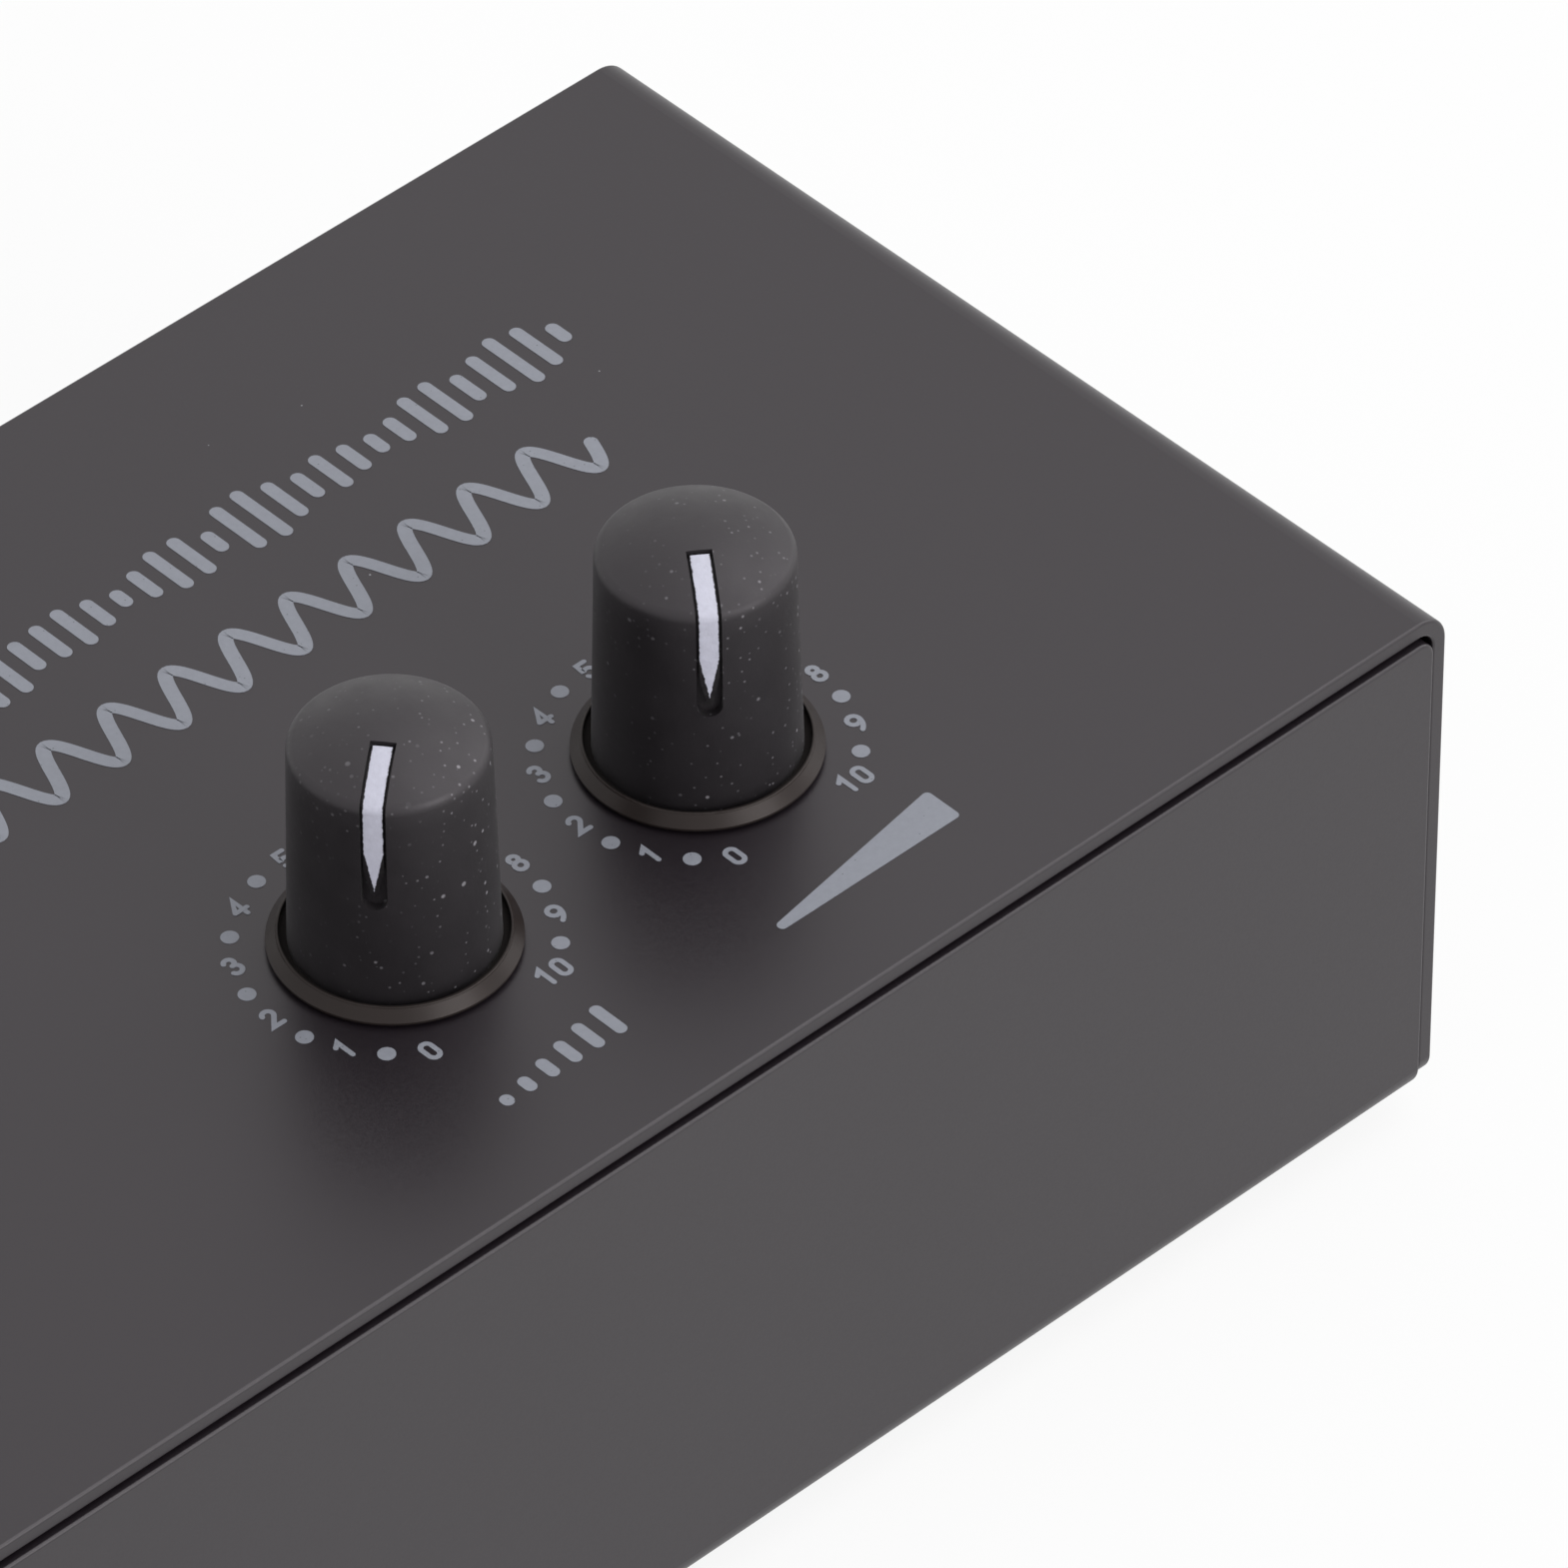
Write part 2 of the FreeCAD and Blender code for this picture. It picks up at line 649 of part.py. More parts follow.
def knob_form(inset):
    """The knob's domed outer shape, moved inwards by an amount."""
    shoulder = S.skin_shoulder_radius - inset
    top = S.knob_height - inset
    dome_centre = top - S.dome_radius
    # The shoulder's arc runs from the side to the dome and touches both
    arc = S.shoulder_round - inset
    arc_x = shoulder - arc
    reach = S.dome_radius - arc
    arc_rise = (reach * reach - arc_x * arc_x).root()
    share = S.dome_radius / reach
    return turned([
        (0, S.groove_floor),
        (S.skin_base_radius - inset, S.groove_floor),
        (shoulder, dome_centre + arc_rise),
        (arc_x * share, dome_centre + arc_rise * share, arc),
        (0, top, S.dome_radius),
    ], (0, 0, 0), name="knob_form")


def slot_shape(width, start, front):
    """What a slot of this width cuts, square-ended from above and shaped as given from the front."""
    plan = box((-width / 2, start, 0), (width / 2, S.skin_base_radius + 1, S.knob_height + 1))
    return common(plan, front)


def pointer_slot():
    """The slot for the pointer, over the shoulder and down the side to a round foot."""
    half = S.slot_width / 2
    beyond = S.skin_base_radius + 1
    front = fuse([rod((0, 0, S.slot_foot + half), half, beyond, "y"),
                  box((-half, 0, S.slot_foot + half), (half, beyond, S.knob_height + 1))])
    return cut(slot_shape(S.slot_width, S.slot_start, front), [knob_form(S.slot_depth)])


def knob_skin(name, at, turn):
    """Soft-touch outer sleeve with the pointer's slot."""
    step = S.core_step_radius + S.skin_clearance
    bore = S.core_radius + S.skin_clearance
    hollow = turned([
        (0, 0),
        (step, 0),
        (step, S.core_step_height + S.skin_clearance),
        (bore, S.core_step_height + S.skin_clearance),
        (bore, S.core_height + S.skin_clearance),
        (0, S.core_height + S.skin_clearance),
    ], (0, 0, 0), name="skin_hollow")
    return place(cut(knob_form(Size(0, "0")), [hollow, pointer_slot()], name), at, turn=turn)


def knob_pointer(name, at, turn):
    """Pale inlay that tapers to a point on the knob's side."""
    half = S.pointer_width / 2
    tip = S.pointer_tip_width / 2
    above = S.knob_height + 1
    front = folded([
        (-tip, S.pointer_tip),
        (tip, S.pointer_tip),
        (half, S.pointer_tip + S.pointer_taper),
        (half, above),
        (-half, above),
        (-half, S.pointer_tip + S.pointer_taper),
    ], "XZ", S.skin_base_radius * 2 + 2, (0, 0, 0), "pointer_front")
    strip = slot_shape(S.pointer_width, S.slot_start + S.pointer_end_gap, front)
    strip = common(strip, knob_form(S.pointer_sink))
    return place(cut(strip, [knob_form(S.slot_depth - S.skin_clearance)], name), at, turn=turn)


def knob_core(name, at, turn):
    """Hard core with the sloping base flange, its groove, a pocket for the nut and a D-shaped bore."""
    solid = turned([
        (0, S.nut_pocket_height),
        (S.nut_pocket_radius, S.nut_pocket_height),
        (S.nut_pocket_radius, S.knob_lift),
        (S.flange_radius, S.knob_lift),
        (S.flange_radius, S.knob_lift + S.flange_edge),
        (S.lip_radius, S.flange_top - S.lip_round),
        (S.lip_radius - S.lip_round, S.flange_top, S.lip_round),
        (S.groove_outer_radius, S.flange_top),
        (S.groove_outer_radius, S.groove_floor),
        (S.core_step_radius, S.groove_floor),
        (S.core_step_radius, S.core_step_height),
        (S.core_radius, S.core_step_height),
        (S.core_radius, S.core_height),
        (0, S.core_height),
    ], (0, 0, 0), name="core_solid")
    bore = d_bar(S.nut_pocket_height - 1, S.shaft_top + S.knob_lift, S.shaft_clearance)
    return place(cut(solid, [bore], name), at, turn=turn)


def d_bar(low, high, clearance):
    """A bar with one flat, with some room added all round."""
    radius = S.shaft_radius + clearance
    flat = S.shaft_flat + clearance
    return common(rod((0, 0, low), radius, high - low),
                  box((-radius - 1, -flat, low), (radius + 1, radius + 1, high)))


# Potentiometers, heights measured from the cover's top face

def pot_shaft(name, at, turn):
    """Round shaft with a flat along its upper part."""
    low = WAFER_TOP + S.wiper_gap - TOP
    flat_from = S.bush_top + S.knob_lift
    round_part = rod((0, 0, low), S.shaft_radius, flat_from - low)
    return place(fuse([round_part, d_bar(flat_from, S.shaft_top, 0)], name), at, turn=turn)


def pot_wiper(name, at, turn):
    """Disc on the shaft's foot that carries the sliding contacts."""
    low = WAFER_TOP + S.wiper_gap - TOP
    disc = rod((0, 0, low), S.wiper_radius, S.wiper_thickness)
    return place(cut(disc, [rod((0, 0, low - 1), S.shaft_radius + S.jack_fit, S.wiper_thickness + 2)], name),
                 at, turn=turn)


def pot_bush(name, x):
    """Mounting plate with the threaded bush that comes up through the cover."""
    half = S.pot_width / 2
    plate = box((x - half, CONTROL_Y - half, POT_PLATE_LOW), (x + half, CONTROL_Y + half, CEILING))
    bush = rod((x, CONTROL_Y, POT_PLATE_LOW), S.bush_radius, TOP + S.bush_top - POT_PLATE_LOW)
    bore = rod((x, CONTROL_Y, POT_PLATE_LOW - 1), S.shaft_radius + S.shaft_clearance,
               TOP + S.bush_top - POT_PLATE_LOW + 2)
    return cut(fuse([plate, bush]), [bore], name)


def pot_can(name, x):
    """Metal can round the wiper."""
    ring = rod((x, CONTROL_Y, WAFER_TOP), S.pot_can_radius, S.pot_can_height)
    return cut(ring, [rod((x, CONTROL_Y, WAFER_TOP - 1), S.pot_can_radius - S.pot_can_wall,
                          S.pot_can_height + 2)], name)


def terminal_places(x):
    """Where a potentiometer's three terminals stand."""
    return [(x + S.terminal_pitch * i, CONTROL_Y + S.terminal_offset) for i in (-1, 0, 1)]


def pot_wafer(name, x):
    """Resistive wafer that closes the can, with its three terminals."""
    pieces = [rod((x, CONTROL_Y, WAFER_LOW), S.pot_can_radius, S.wafer_thickness)]
    for tx, ty in terminal_places(x):
        half_width = S.terminal_width / 2
        half_thickness = S.terminal_thickness / 2
        pieces.append(box((tx - half_width, ty - half_thickness, CONTROL_BOARD_LOW - S.terminal_end),
                          (tx + half_width, ty + half_thickness, WAFER_LOW + S.wafer_thickness / 2)))
    return fuse(pieces, name)


def pot_nut(name, x):
    """Washer and hexagonal nut that clamp the bush to the cover, hidden in the knob's pocket."""
    washer = rod((x, CONTROL_Y, TOP), S.washer_radius, S.washer_thickness)
    nut = hexagon((x, CONTROL_Y, TOP + S.washer_thickness), S.nut_across_flats, S.nut_thickness)
    bore = rod((x, CONTROL_Y, TOP - 1), S.bush_radius + S.thread_clearance,
               S.washer_thickness + S.nut_thickness + 2)
    return cut(fuse([washer, nut]), [bore], name)


# Boards

def main_board():
    """Board that carries the connectors and the circuit."""
    board = box((-BOARD_SIDE, BOARD_FRONT, BOARD_LOW), (BOARD_SIDE, REAR_INSIDE - S.board_rear_gap, BOARD_TOP))
    holes = [rod((x, y, BOARD_LOW - 1), S.screw_radius + S.screw_clearance, S.board_thickness + 2)
             for x, y in STANDOFFS]
    return cut(board, holes, "main_board")


def board_standoffs():
    """Four tapped hexagonal pillars under the main board."""
    pillars = []
    for x, y in STANDOFFS:
        bore = rod((x, y, FLOOR - 1), S.screw_radius + S.thread_clearance, S.standoff_height + 2)
        pillars.append(cut(hexagon((x, y, FLOOR), S.standoff_across_flats, S.standoff_height), [bore]))
    return group(pillars, "board_standoffs")


def board_screws():
    """Four pan-head screws that hold the main board to its pillars."""
    arm = S.screw_radius
    half = S.recess_width / 2
    top = BOARD_TOP + S.screw_head_height
    screws = []
    for x, y in STANDOFFS:
        screw = fuse([rod((x, y, BOARD_TOP - S.board_screw_length), S.screw_radius, S.board_screw_length),
                      rod((x, y, BOARD_TOP), S.screw_head_radius, S.screw_head_height)])
        slots = [box((x - arm, y - half, top - S.recess_depth), (x + arm, y + half, top + 1)),
                 box((x - half, y - arm, top - S.recess_depth), (x + half, y + arm, top + 1))]
        screws.append(cut(screw, slots))
    return group(screws, "board_screws")


def link_places():
    """X of each pin of the row that joins the two boards."""
    count = int(S.link_pins.number)
    first = CONTROL_MIDDLE_X - (S.link_pins - 1) * S.link_pitch / 2
    return [first + S.link_pitch * i for i in range(count)]


def control_board():
    """Small board soldered to the potentiometers' terminals."""
    half_width = S.control_board_width / 2
    half_depth = S.control_board_depth / 2
    board = box((CONTROL_MIDDLE_X - half_width, CONTROL_Y - half_depth, CONTROL_BOARD_LOW),
                (CONTROL_MIDDLE_X + half_width, CONTROL_Y + half_depth, CONTROL_BOARD_TOP))
    low, high = CONTROL_BOARD_LOW - 1, CONTROL_BOARD_TOP + 1
    holes = []
    for x in (LEVEL_X, VOLUME_X):
        for tx, ty in terminal_places(x):
            wide = S.terminal_width / 2 + S.lead_clearance
            thick = S.terminal_thickness / 2 + S.lead_clearance
            holes.append(box((tx - wide, ty - thick, low), (tx + wide, ty + thick, high)))
    for x in link_places():
        half = S.link_pin_width / 2 + S.lead_clearance
        holes.append(box((x - half, LINK_Y - half, low), (x + half, LINK_Y + half, high)))
    return cut(board, holes, "control_board")


def board_link():
    """Row of pins that stands on the main board and carries the control board's signals."""
    margin = S.link_pitch / 2
    places = link_places()
    pieces = [box((places[0] - margin, LINK_Y - S.link_base_depth / 2, BOARD_TOP),
                  (places[-1] + margin, LINK_Y + S.link_base_depth / 2, BOARD_TOP + S.link_base_height))]
    half = S.link_pin_width / 2
    for x in places:
        pieces.append(box((x - half, LINK_Y - half, BOARD_TOP + S.link_base_height / 2),
                          (x + half, LINK_Y + half, CONTROL_BOARD_TOP + S.terminal_end)))
    return fuse(pieces, "board_link")


# Rear connectors

def jack_housing(name, x):
    """Moulded body of a side-by-side pair of phono jacks."""
    half = S.jack_pitch / 2 + S.jack_body_margin
    body = box((x - half, REAR_INSIDE - S.jack_body_depth, BOARD_TOP),
               (x + half, REAR_INSIDE, BOARD_TOP + S.jack_body_height))
    sockets = [rod((x + S.jack_pitch / 2 * side, REAR_INSIDE - S.jack_root, JACK_Z),
                   S.jack_shell_radius + S.jack_collar + S.jack_fit, S.jack_root + 1, "y") for side in (-1, 1)]
    return cut(body, sockets, name)


def tube(name, x, outer, inner, end):
    """A tube along a jack's axis, from its root in the housing to an end behind the case."""
    start = REAR_INSIDE - S.jack_root
    return cut(rod((x, start, JACK_Z), outer, end - start, "y"),
               [rod((x, start - 1, JACK_Z), inner, end - start + 2, "y")], name)


def jack_shell(name, x):
    """Plated outer sleeve of a phono jack, which the plug's ring grips, with its collar in the panel."""
    inner = S.jack_shell_radius - S.jack_shell_wall
    return fuse([tube("sleeve", x, S.jack_shell_radius, inner, JACK_END),
                 tube("collar", x, S.jack_shell_radius + S.jack_collar, inner, REAR_PANEL)], name)


def jack_insert(name, x):
    """Coloured insulator inside a jack's shell."""
    outer = S.jack_shell_radius - S.jack_shell_wall - S.jack_fit
    inner = S.jack_contact_radius + S.jack_contact_wall + S.jack_fit
    return tube(name, x, outer, inner, JACK_END - S.jack_insert_sink)


def jack_contact(name, x):
    """Sprung centre contact that takes the plug's pin."""
    return tube(name, x, S.jack_contact_radius + S.jack_contact_wall, S.jack_contact_radius,
                JACK_END - S.jack_insert_sink)


def ground_stud():
    """Threaded earth post through the rear panel."""
    start = REAR_INSIDE - S.ground_nut_thickness - 1
    return rod((GROUND_X, start, JACK_Z), S.ground_radius, REAR_END - start, "y", "ground_stud")


def ground_inner_nut():
    """Nut that holds the earth post from inside."""
    start = REAR_INSIDE - S.ground_nut_thickness
    nut = hexagon((GROUND_X, start, JACK_Z), S.ground_nut_across_flats, S.ground_nut_thickness, "y")
    return cut(nut, [rod((GROUND_X, start - 1, JACK_Z), S.ground_radius + S.thread_clearance,
                         S.ground_nut_thickness + 2, "y")], "ground_inner_nut")


def ground_washer():
    """Loose washer that presses an earth wire to the panel."""
    disc = rod((GROUND_X, REAR_PANEL, JACK_Z), S.ground_washer_radius, S.ground_washer_thickness, "y")
    return cut(disc, [rod((GROUND_X, REAR_PANEL - 1, JACK_Z), S.ground_radius + S.screw_clearance,
                          S.ground_washer_thickness + 2, "y")], "ground_washer")


def ground_thumb_nut():
    """Grooved nut turned by hand on the earth post."""
    start = REAR_PANEL + S.ground_washer_thickness
    tools = [rod((GROUND_X, start - 1, JACK_Z), S.ground_radius + S.thumb_clearance,
                 S.thumb_nut_length + 2, "y")]
    count = int(S.thumb_nut_grooves.number)
    for i in range(count):
        across = Rotation(Vector(0, 1, 0), 360 * i / count).multVec(Vector(1, 0, 0))
        tools.append(rod((GROUND_X + S.thumb_nut_radius * across.x, start - 1,
                          JACK_Z + S.thumb_nut_radius * across.z),
                         S.thumb_groove_radius, S.thumb_nut_length + 2, "y"))
    return cut(rod((GROUND_X, start, JACK_Z), S.thumb_nut_radius, S.thumb_nut_length, "y"), tools,
               "ground_thumb_nut")


def power_jack_housing():
    """Low-voltage inlet with a round nose in the rear panel."""
    half = S.power_body_width / 2
    body = box((POWER_X - half, REAR_INSIDE - S.power_body_depth, BOARD_TOP),
               (POWER_X + half, REAR_INSIDE, BOARD_TOP + S.power_body_height))
    nose = rod((POWER_X, REAR_INSIDE - 1, POWER_Z), S.power_nose_radius, POWER_END - REAR_INSIDE + 1, "y")
    socket = rod((POWER_X, POWER_END - S.power_socket_depth, POWER_Z), S.power_socket_radius,
                 S.power_socket_depth + 1, "y")
    return cut(fuse([body, nose]), [socket], "power_jack_housing")


def power_jack_pin():
    """Centre pin of the low-voltage inlet."""
    return rod((POWER_X, POWER_END - S.power_socket_depth, POWER_Z), S.power_pin_radius,
               S.power_socket_depth - S.power_pin_sink, "y", "power_jack_pin")


def power_switch():
    """Body of the push switch, with the way that its stem slides in."""
    half = S.switch_body_width / 2
    face = CAP_ROOT - S.button_travel - S.switch_stop_gap
    body = box((BUTTON_X - half, face - S.switch_body_depth, BOARD_TOP),
               (BUTTON_X + half, face, BOARD_TOP + S.switch_body_height))
    bore = S.button_stem_width / 2 + S.stem_clearance
    stem_end = CAP_ROOT - S.button_stem_length - S.button_travel - S.switch_stop_gap
    way = box((BUTTON_X - bore, stem_end, BUTTON_Z - bore), (BUTTON_X + bore, face + 1, BUTTON_Z + bore))
    return cut(body, [way], "power_switch")


def power_button():
    """Round button cap on the switch's square stem."""
    half = S.button_stem_width / 2
    cap = rod((BUTTON_X, CAP_ROOT, BUTTON_Z), S.button_radius, REAR_PANEL + S.button_reach - CAP_ROOT, "y")
    stem = box((BUTTON_X - half, CAP_ROOT - S.button_stem_length, BUTTON_Z - half),
               (BUTTON_X + half, CAP_ROOT + 1, BUTTON_Z + half))
    return fuse([cap, stem], "power_button")


# Indicator

def led_pipe():
    """Clear pin that brings the indicator's light to the front panel."""
    collar_start = FRONT_PANEL + S.metal
    return fuse([rod((LED_X, FRONT_PANEL, LED_Z), S.led_pipe_radius, S.led_pipe_length, "y"),
                 rod((LED_X, collar_start, LED_Z), S.led_collar_radius, S.led_collar_length, "y")], "led_pipe")


def led():
    """Light-emitting diode lying behind the pipe, its two legs bent down to the board."""
    start = FRONT_PANEL + S.led_pipe_length + S.led_gap
    half = S.led_leg_width / 2
    leg_y = start + S.led_body_length - S.led_leg_width
    pieces = [rod((LED_X, start, LED_Z), S.led_body_radius, S.led_body_length, "y")]
    for side in (-1, 1):
        x = LED_X + S.led_leg_pitch / 2 * side
        pieces.append(box((x - half, leg_y, BOARD_TOP), (x + half, leg_y + S.led_leg_width, LED_Z)))
    return fuse(pieces, "led")


# Parts on the main board

def amplifier_chip():
    """Eight-legged amplifier chip."""
    y = MIDDLE + S.chip_y
    body_low = BOARD_TOP + S.chip_stand
    half_length, half_width = S.chip_length / 2, S.chip_width / 2
    half_leg = S.chip_leg_width / 2
    pieces = [box((S.chip_x - half_length, y - half_width, body_low),
                  (S.chip_x + half_length, y + half_width, body_low + S.chip_height))]
    for i in (-1.5, -0.5, 0.5, 1.5):
        x = S.chip_x + S.chip_leg_pitch * i
        for low, high in ((y - half_width - S.chip_leg_width, y - half_width),
                          (y + half_width, y + half_width + S.chip_leg_width)):
            pieces.append(box((x - half_leg, low, BOARD_TOP),
                              (x + half_leg, high, body_low + S.chip_height / 2)))
    return fuse(pieces, "amplifier_chip")


def voltage_regulator():
    """Three-legged regulator with its cooling tab."""
    y = MIDDLE + S.regulator_y
    low = BOARD_TOP + S.regulator_stand
    half = S.regulator_width / 2
    body_top = low + S.regulator_body_height
    pieces = [box((REGULATOR_X - half, y, low), (REGULATOR_X + half, y + S.regulator_depth, body_top)),
              box((REGULATOR_X - half, y, low),
                  (REGULATOR_X + half, y + S.regulator_tab_depth, body_top + S.regulator_tab_height))]
    leg_y = y + S.regulator_depth / 2
    half_leg = S.regulator_leg_width / 2
    for i in (-1, 0, 1):
        x = REGULATOR_X + S.regulator_leg_pitch * i
        pieces.append(box((x - half_leg, leg_y - half_leg, BOARD_TOP),
                          (x + half_leg, leg_y + half_leg, low + 1)))
    return fuse(pieces, "voltage_regulator")


def electrolytic_capacitors():
    """Four upright capacitor cans."""
    cans = [rod((CAN_X + S.can_pitch * i, MIDDLE + S.can_y + S.can_pitch * j, BOARD_TOP), S.can_radius,
                S.can_height) for i in (0, 1) for j in (0, 1)]
    return group(cans, "electrolytic_capacitors")


def film_capacitors():
    """Four block-shaped film capacitors."""
    blocks = []
    for i in range(4):
        x = FILM_X + S.film_pitch * i
        y = MIDDLE + S.film_y
        blocks.append(box((x, y, BOARD_TOP), (x + S.film_width, y + S.film_length, BOARD_TOP + S.film_height)))
    return group(blocks, "film_capacitors")


def resistors():
    """Two rows of small resistors lying on their leads."""
    axis_z = BOARD_TOP + S.resistor_radius + S.resistor_lead_radius
    reach = S.resistor_length / 2 + S.resistor_lead_reach
    lying = []
    for i in range(6):
        for j in (0, 1):
            x = RESISTOR_X + S.resistor_pitch * i
            y = MIDDLE + S.resistor_y + S.resistor_row_pitch * j
            lying.append(fuse([
                rod((x, y - S.resistor_length / 2, axis_z), S.resistor_radius, S.resistor_length, "y"),
                rod((x, y - reach, axis_z), S.resistor_lead_radius, reach * 2, "y"),
                rod((x, y - reach, BOARD_TOP), S.resistor_lead_radius, axis_z - BOARD_TOP),
                rod((x, y + reach, BOARD_TOP), S.resistor_lead_radius, axis_z - BOARD_TOP),
            ]))
    return group(lying, "resistors")


# The assembly

def build():
    """Make every sub-part and return them by name."""
    parts = {"top_cover": top_cover(), "chassis": chassis(), "cover_screws": cover_screws()}
    foot_x = SIDE - S.foot_inset_side
    for name, x, y in (("foot_front_left", -foot_x, FRONT + S.foot_inset_end),
                       ("foot_front_right", foot_x, FRONT + S.foot_inset_end),
                       ("foot_rear_left", -foot_x, REAR - S.foot_inset_end),
                       ("foot_rear_right", foot_x, REAR - S.foot_inset_end)):
        parts[name] = foot(name, x, y)
    for control, x, rest in (("level", LEVEL_X, S.level_rest_turn), ("volume", VOLUME_X, S.volume_rest_turn)):
        at = (x, CONTROL_Y, TOP)
        turn = S.dial_half_turn - rest
        for kind, make in (("knob_skin", knob_skin), ("knob_core", knob_core), ("knob_pointer", knob_pointer),
                           ("pot_shaft", pot_shaft), ("pot_wiper", pot_wiper)):
            name = control + "_" + kind
            parts[name] = make(name, at, turn)
        for kind, make in (("pot_bush", pot_bush), ("pot_can", pot_can), ("pot_wafer", pot_wafer),
                           ("pot_nut", pot_nut)):
            name = control + "_" + kind
            parts[name] = make(name, x)
    for make in (main_board, board_standoffs, board_screws, control_board, board_link):
        parts[make.__name__] = make()
    for name, x in (("input_jack_housing", INPUT_JACKS_X), ("output_jack_housing", OUTPUT_JACKS_X)):
        parts[name] = jack_housing(name, x)
    for jack, x in JACKS.items():
        for kind, make in (("shell", jack_shell), ("insert", jack_insert), ("contact", jack_contact)):
            name = jack + "_" + kind
            parts[name] = make(name, x)
    for make in (ground_stud, ground_inner_nut, ground_washer, ground_thumb_nut, power_jack_housing,
                 power_jack_pin, power_switch, power_button, led_pipe, led, amplifier_chip,
                 voltage_regulator, electrolytic_capacitors, film_capacitors, resistors):
        parts[make.__name__] = make()
    return parts


def check(parts):
    """Stop if any object failed or any sub-part's shape is missing or broken."""
    for thing in doc.Objects:
        if "Invalid" in thing.State or "Error" in thing.State:
            raise RuntimeError("failed object: " + thing.Name)
    for name, thing in parts.items():
        if thing.Shape.isNull() or not thing.Shape.isValid() or not thing.Shape.Solids:
            raise RuntimeError("bad shape: " + name)


PARTS = build()
doc.recompute()
check(PARTS)
for label, part in PARTS.items():
    part.Label = label
    part.Shape.exportStep("parts/" + label + ".step")
    print("%-26s solids %2d  volume %10.2f" % (label, len(part.Shape.Solids), part.Shape.Volume))
print("sub-parts", len(PARTS))
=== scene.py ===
import json
import math

import bmesh
import bpy
from bpy.props import FloatProperty, FloatVectorProperty, PointerProperty
from mathutils import Matrix, Vector


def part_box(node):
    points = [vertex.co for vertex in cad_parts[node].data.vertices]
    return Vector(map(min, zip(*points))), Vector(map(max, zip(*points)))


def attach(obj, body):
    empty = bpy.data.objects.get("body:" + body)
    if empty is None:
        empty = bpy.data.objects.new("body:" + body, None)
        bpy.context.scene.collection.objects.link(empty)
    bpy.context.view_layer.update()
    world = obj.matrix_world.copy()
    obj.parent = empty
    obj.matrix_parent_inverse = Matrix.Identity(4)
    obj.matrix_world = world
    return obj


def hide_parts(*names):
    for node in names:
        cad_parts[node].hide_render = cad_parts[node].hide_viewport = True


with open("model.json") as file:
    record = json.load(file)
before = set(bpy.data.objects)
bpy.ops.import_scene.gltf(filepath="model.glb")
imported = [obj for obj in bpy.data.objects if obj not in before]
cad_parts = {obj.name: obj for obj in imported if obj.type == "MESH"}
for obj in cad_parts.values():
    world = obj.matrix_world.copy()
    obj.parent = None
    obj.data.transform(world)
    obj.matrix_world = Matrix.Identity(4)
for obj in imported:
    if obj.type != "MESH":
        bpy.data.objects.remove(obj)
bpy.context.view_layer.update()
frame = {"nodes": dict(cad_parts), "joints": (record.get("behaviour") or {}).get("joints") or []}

bl_info = {
    "name": "Desktop Phono Preamp",
    "version": (1, 0, 0),
    "blender": (4, 5, 0),
    "location": "View3D > Sidebar > Preamp",
    "description": "Finishes a small phono preamp: satin paint, rubber knobs, printed dials and a studio",
    "category": "Object",
}

MM = 0.001
NODES = frame["nodes"]
JOINTS = {joint["name"]: joint for joint in frame["joints"]}

# Places that the print and the fittings line up with, read from the frame, in metres
CASE_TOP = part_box("top_cover")[1].z
REAR_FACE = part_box("chassis")[1].y
CONTROLS = ("level", "volume")
JACKS = ("input_left", "input_right", "output_left", "output_right")

DIAL_HALF_TURN = 150.0    # degrees from straight back to a dial's zero, and to its ten
DIAL_LAST = 10    # the dial's last number
DIGIT_PITCH = 0.74    # from one digit to the next, as a share of the height
STROKE_STEP = 0.006 * MM    # how far one of two strokes that cross stands above the other
INK_SINK = 0.2    # how deep the print sits in the paint, as a share of its height
MITRE_LIMIT = 0.4    # a stroke keeps its width while the cosine of half its turn is above this
WELD_REACH = 0.0005 * MM    # points of a built mesh nearer than this are one
CAD_WELD_REACH = 0.002 * MM    # the same for a CAD node
EASE_ANGLE = math.radians(35.0)    # edges sharper than this are rounded
WAVE_PERIOD = 0.314    # length of one band of a wave texture whose scale is 1


def control_axis(name):
    """Where a control's axis stands, and how far its rest pose is from its zero stop, in degrees."""
    joint = JOINTS[name + "_turn"]
    return Vector((joint["pos_m"][0], joint["pos_m"][1], CASE_TOP)), -joint["range_deg"][0]


def middle(node):
    """Middle of a node's box."""
    low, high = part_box(node)
    return (low + high) / 2


# Sizes and colours that a user would change

def colour(name, default, description):
    """A colour setting, in linear light."""
    return FloatVectorProperty(name=name, description=description, default=default, size=3,
                               min=0.0, max=1.0, subtype="COLOR")


def size(name, millimetres, description):
    """A length setting."""
    return FloatProperty(name=name, description=description, default=millimetres * MM, min=0.0,
                         precision=5, subtype="DISTANCE", unit="LENGTH")


def share(name, default, description):
    """A setting from 0 to 1."""
    return FloatProperty(name=name, description=description, default=default, min=0.0, max=1.0,
                         subtype="FACTOR")


def power(name, watts, description):
    """A lamp's power setting."""
    return FloatProperty(name=name, description=description, default=watts, min=0.0, unit="POWER")


class PaintSettings(bpy.types.PropertyGroup):
    """Satin paint on the folded steel."""
    tint: colour("Paint", (0.0098, 0.0070, 0.0095), "Colour of the case's paint")
    roughness: share("Roughness", 0.36, "How matt the paint is")
    grain: size("Grain", 0.16, "Width of one bump of the paint's fine texture")
    grain_height: size("Grain height", 0.0022, "Height of the paint's fine texture")
    speck: colour("Specks", (0.30, 0.30, 0.32), "Colour of the few specks on the paint")


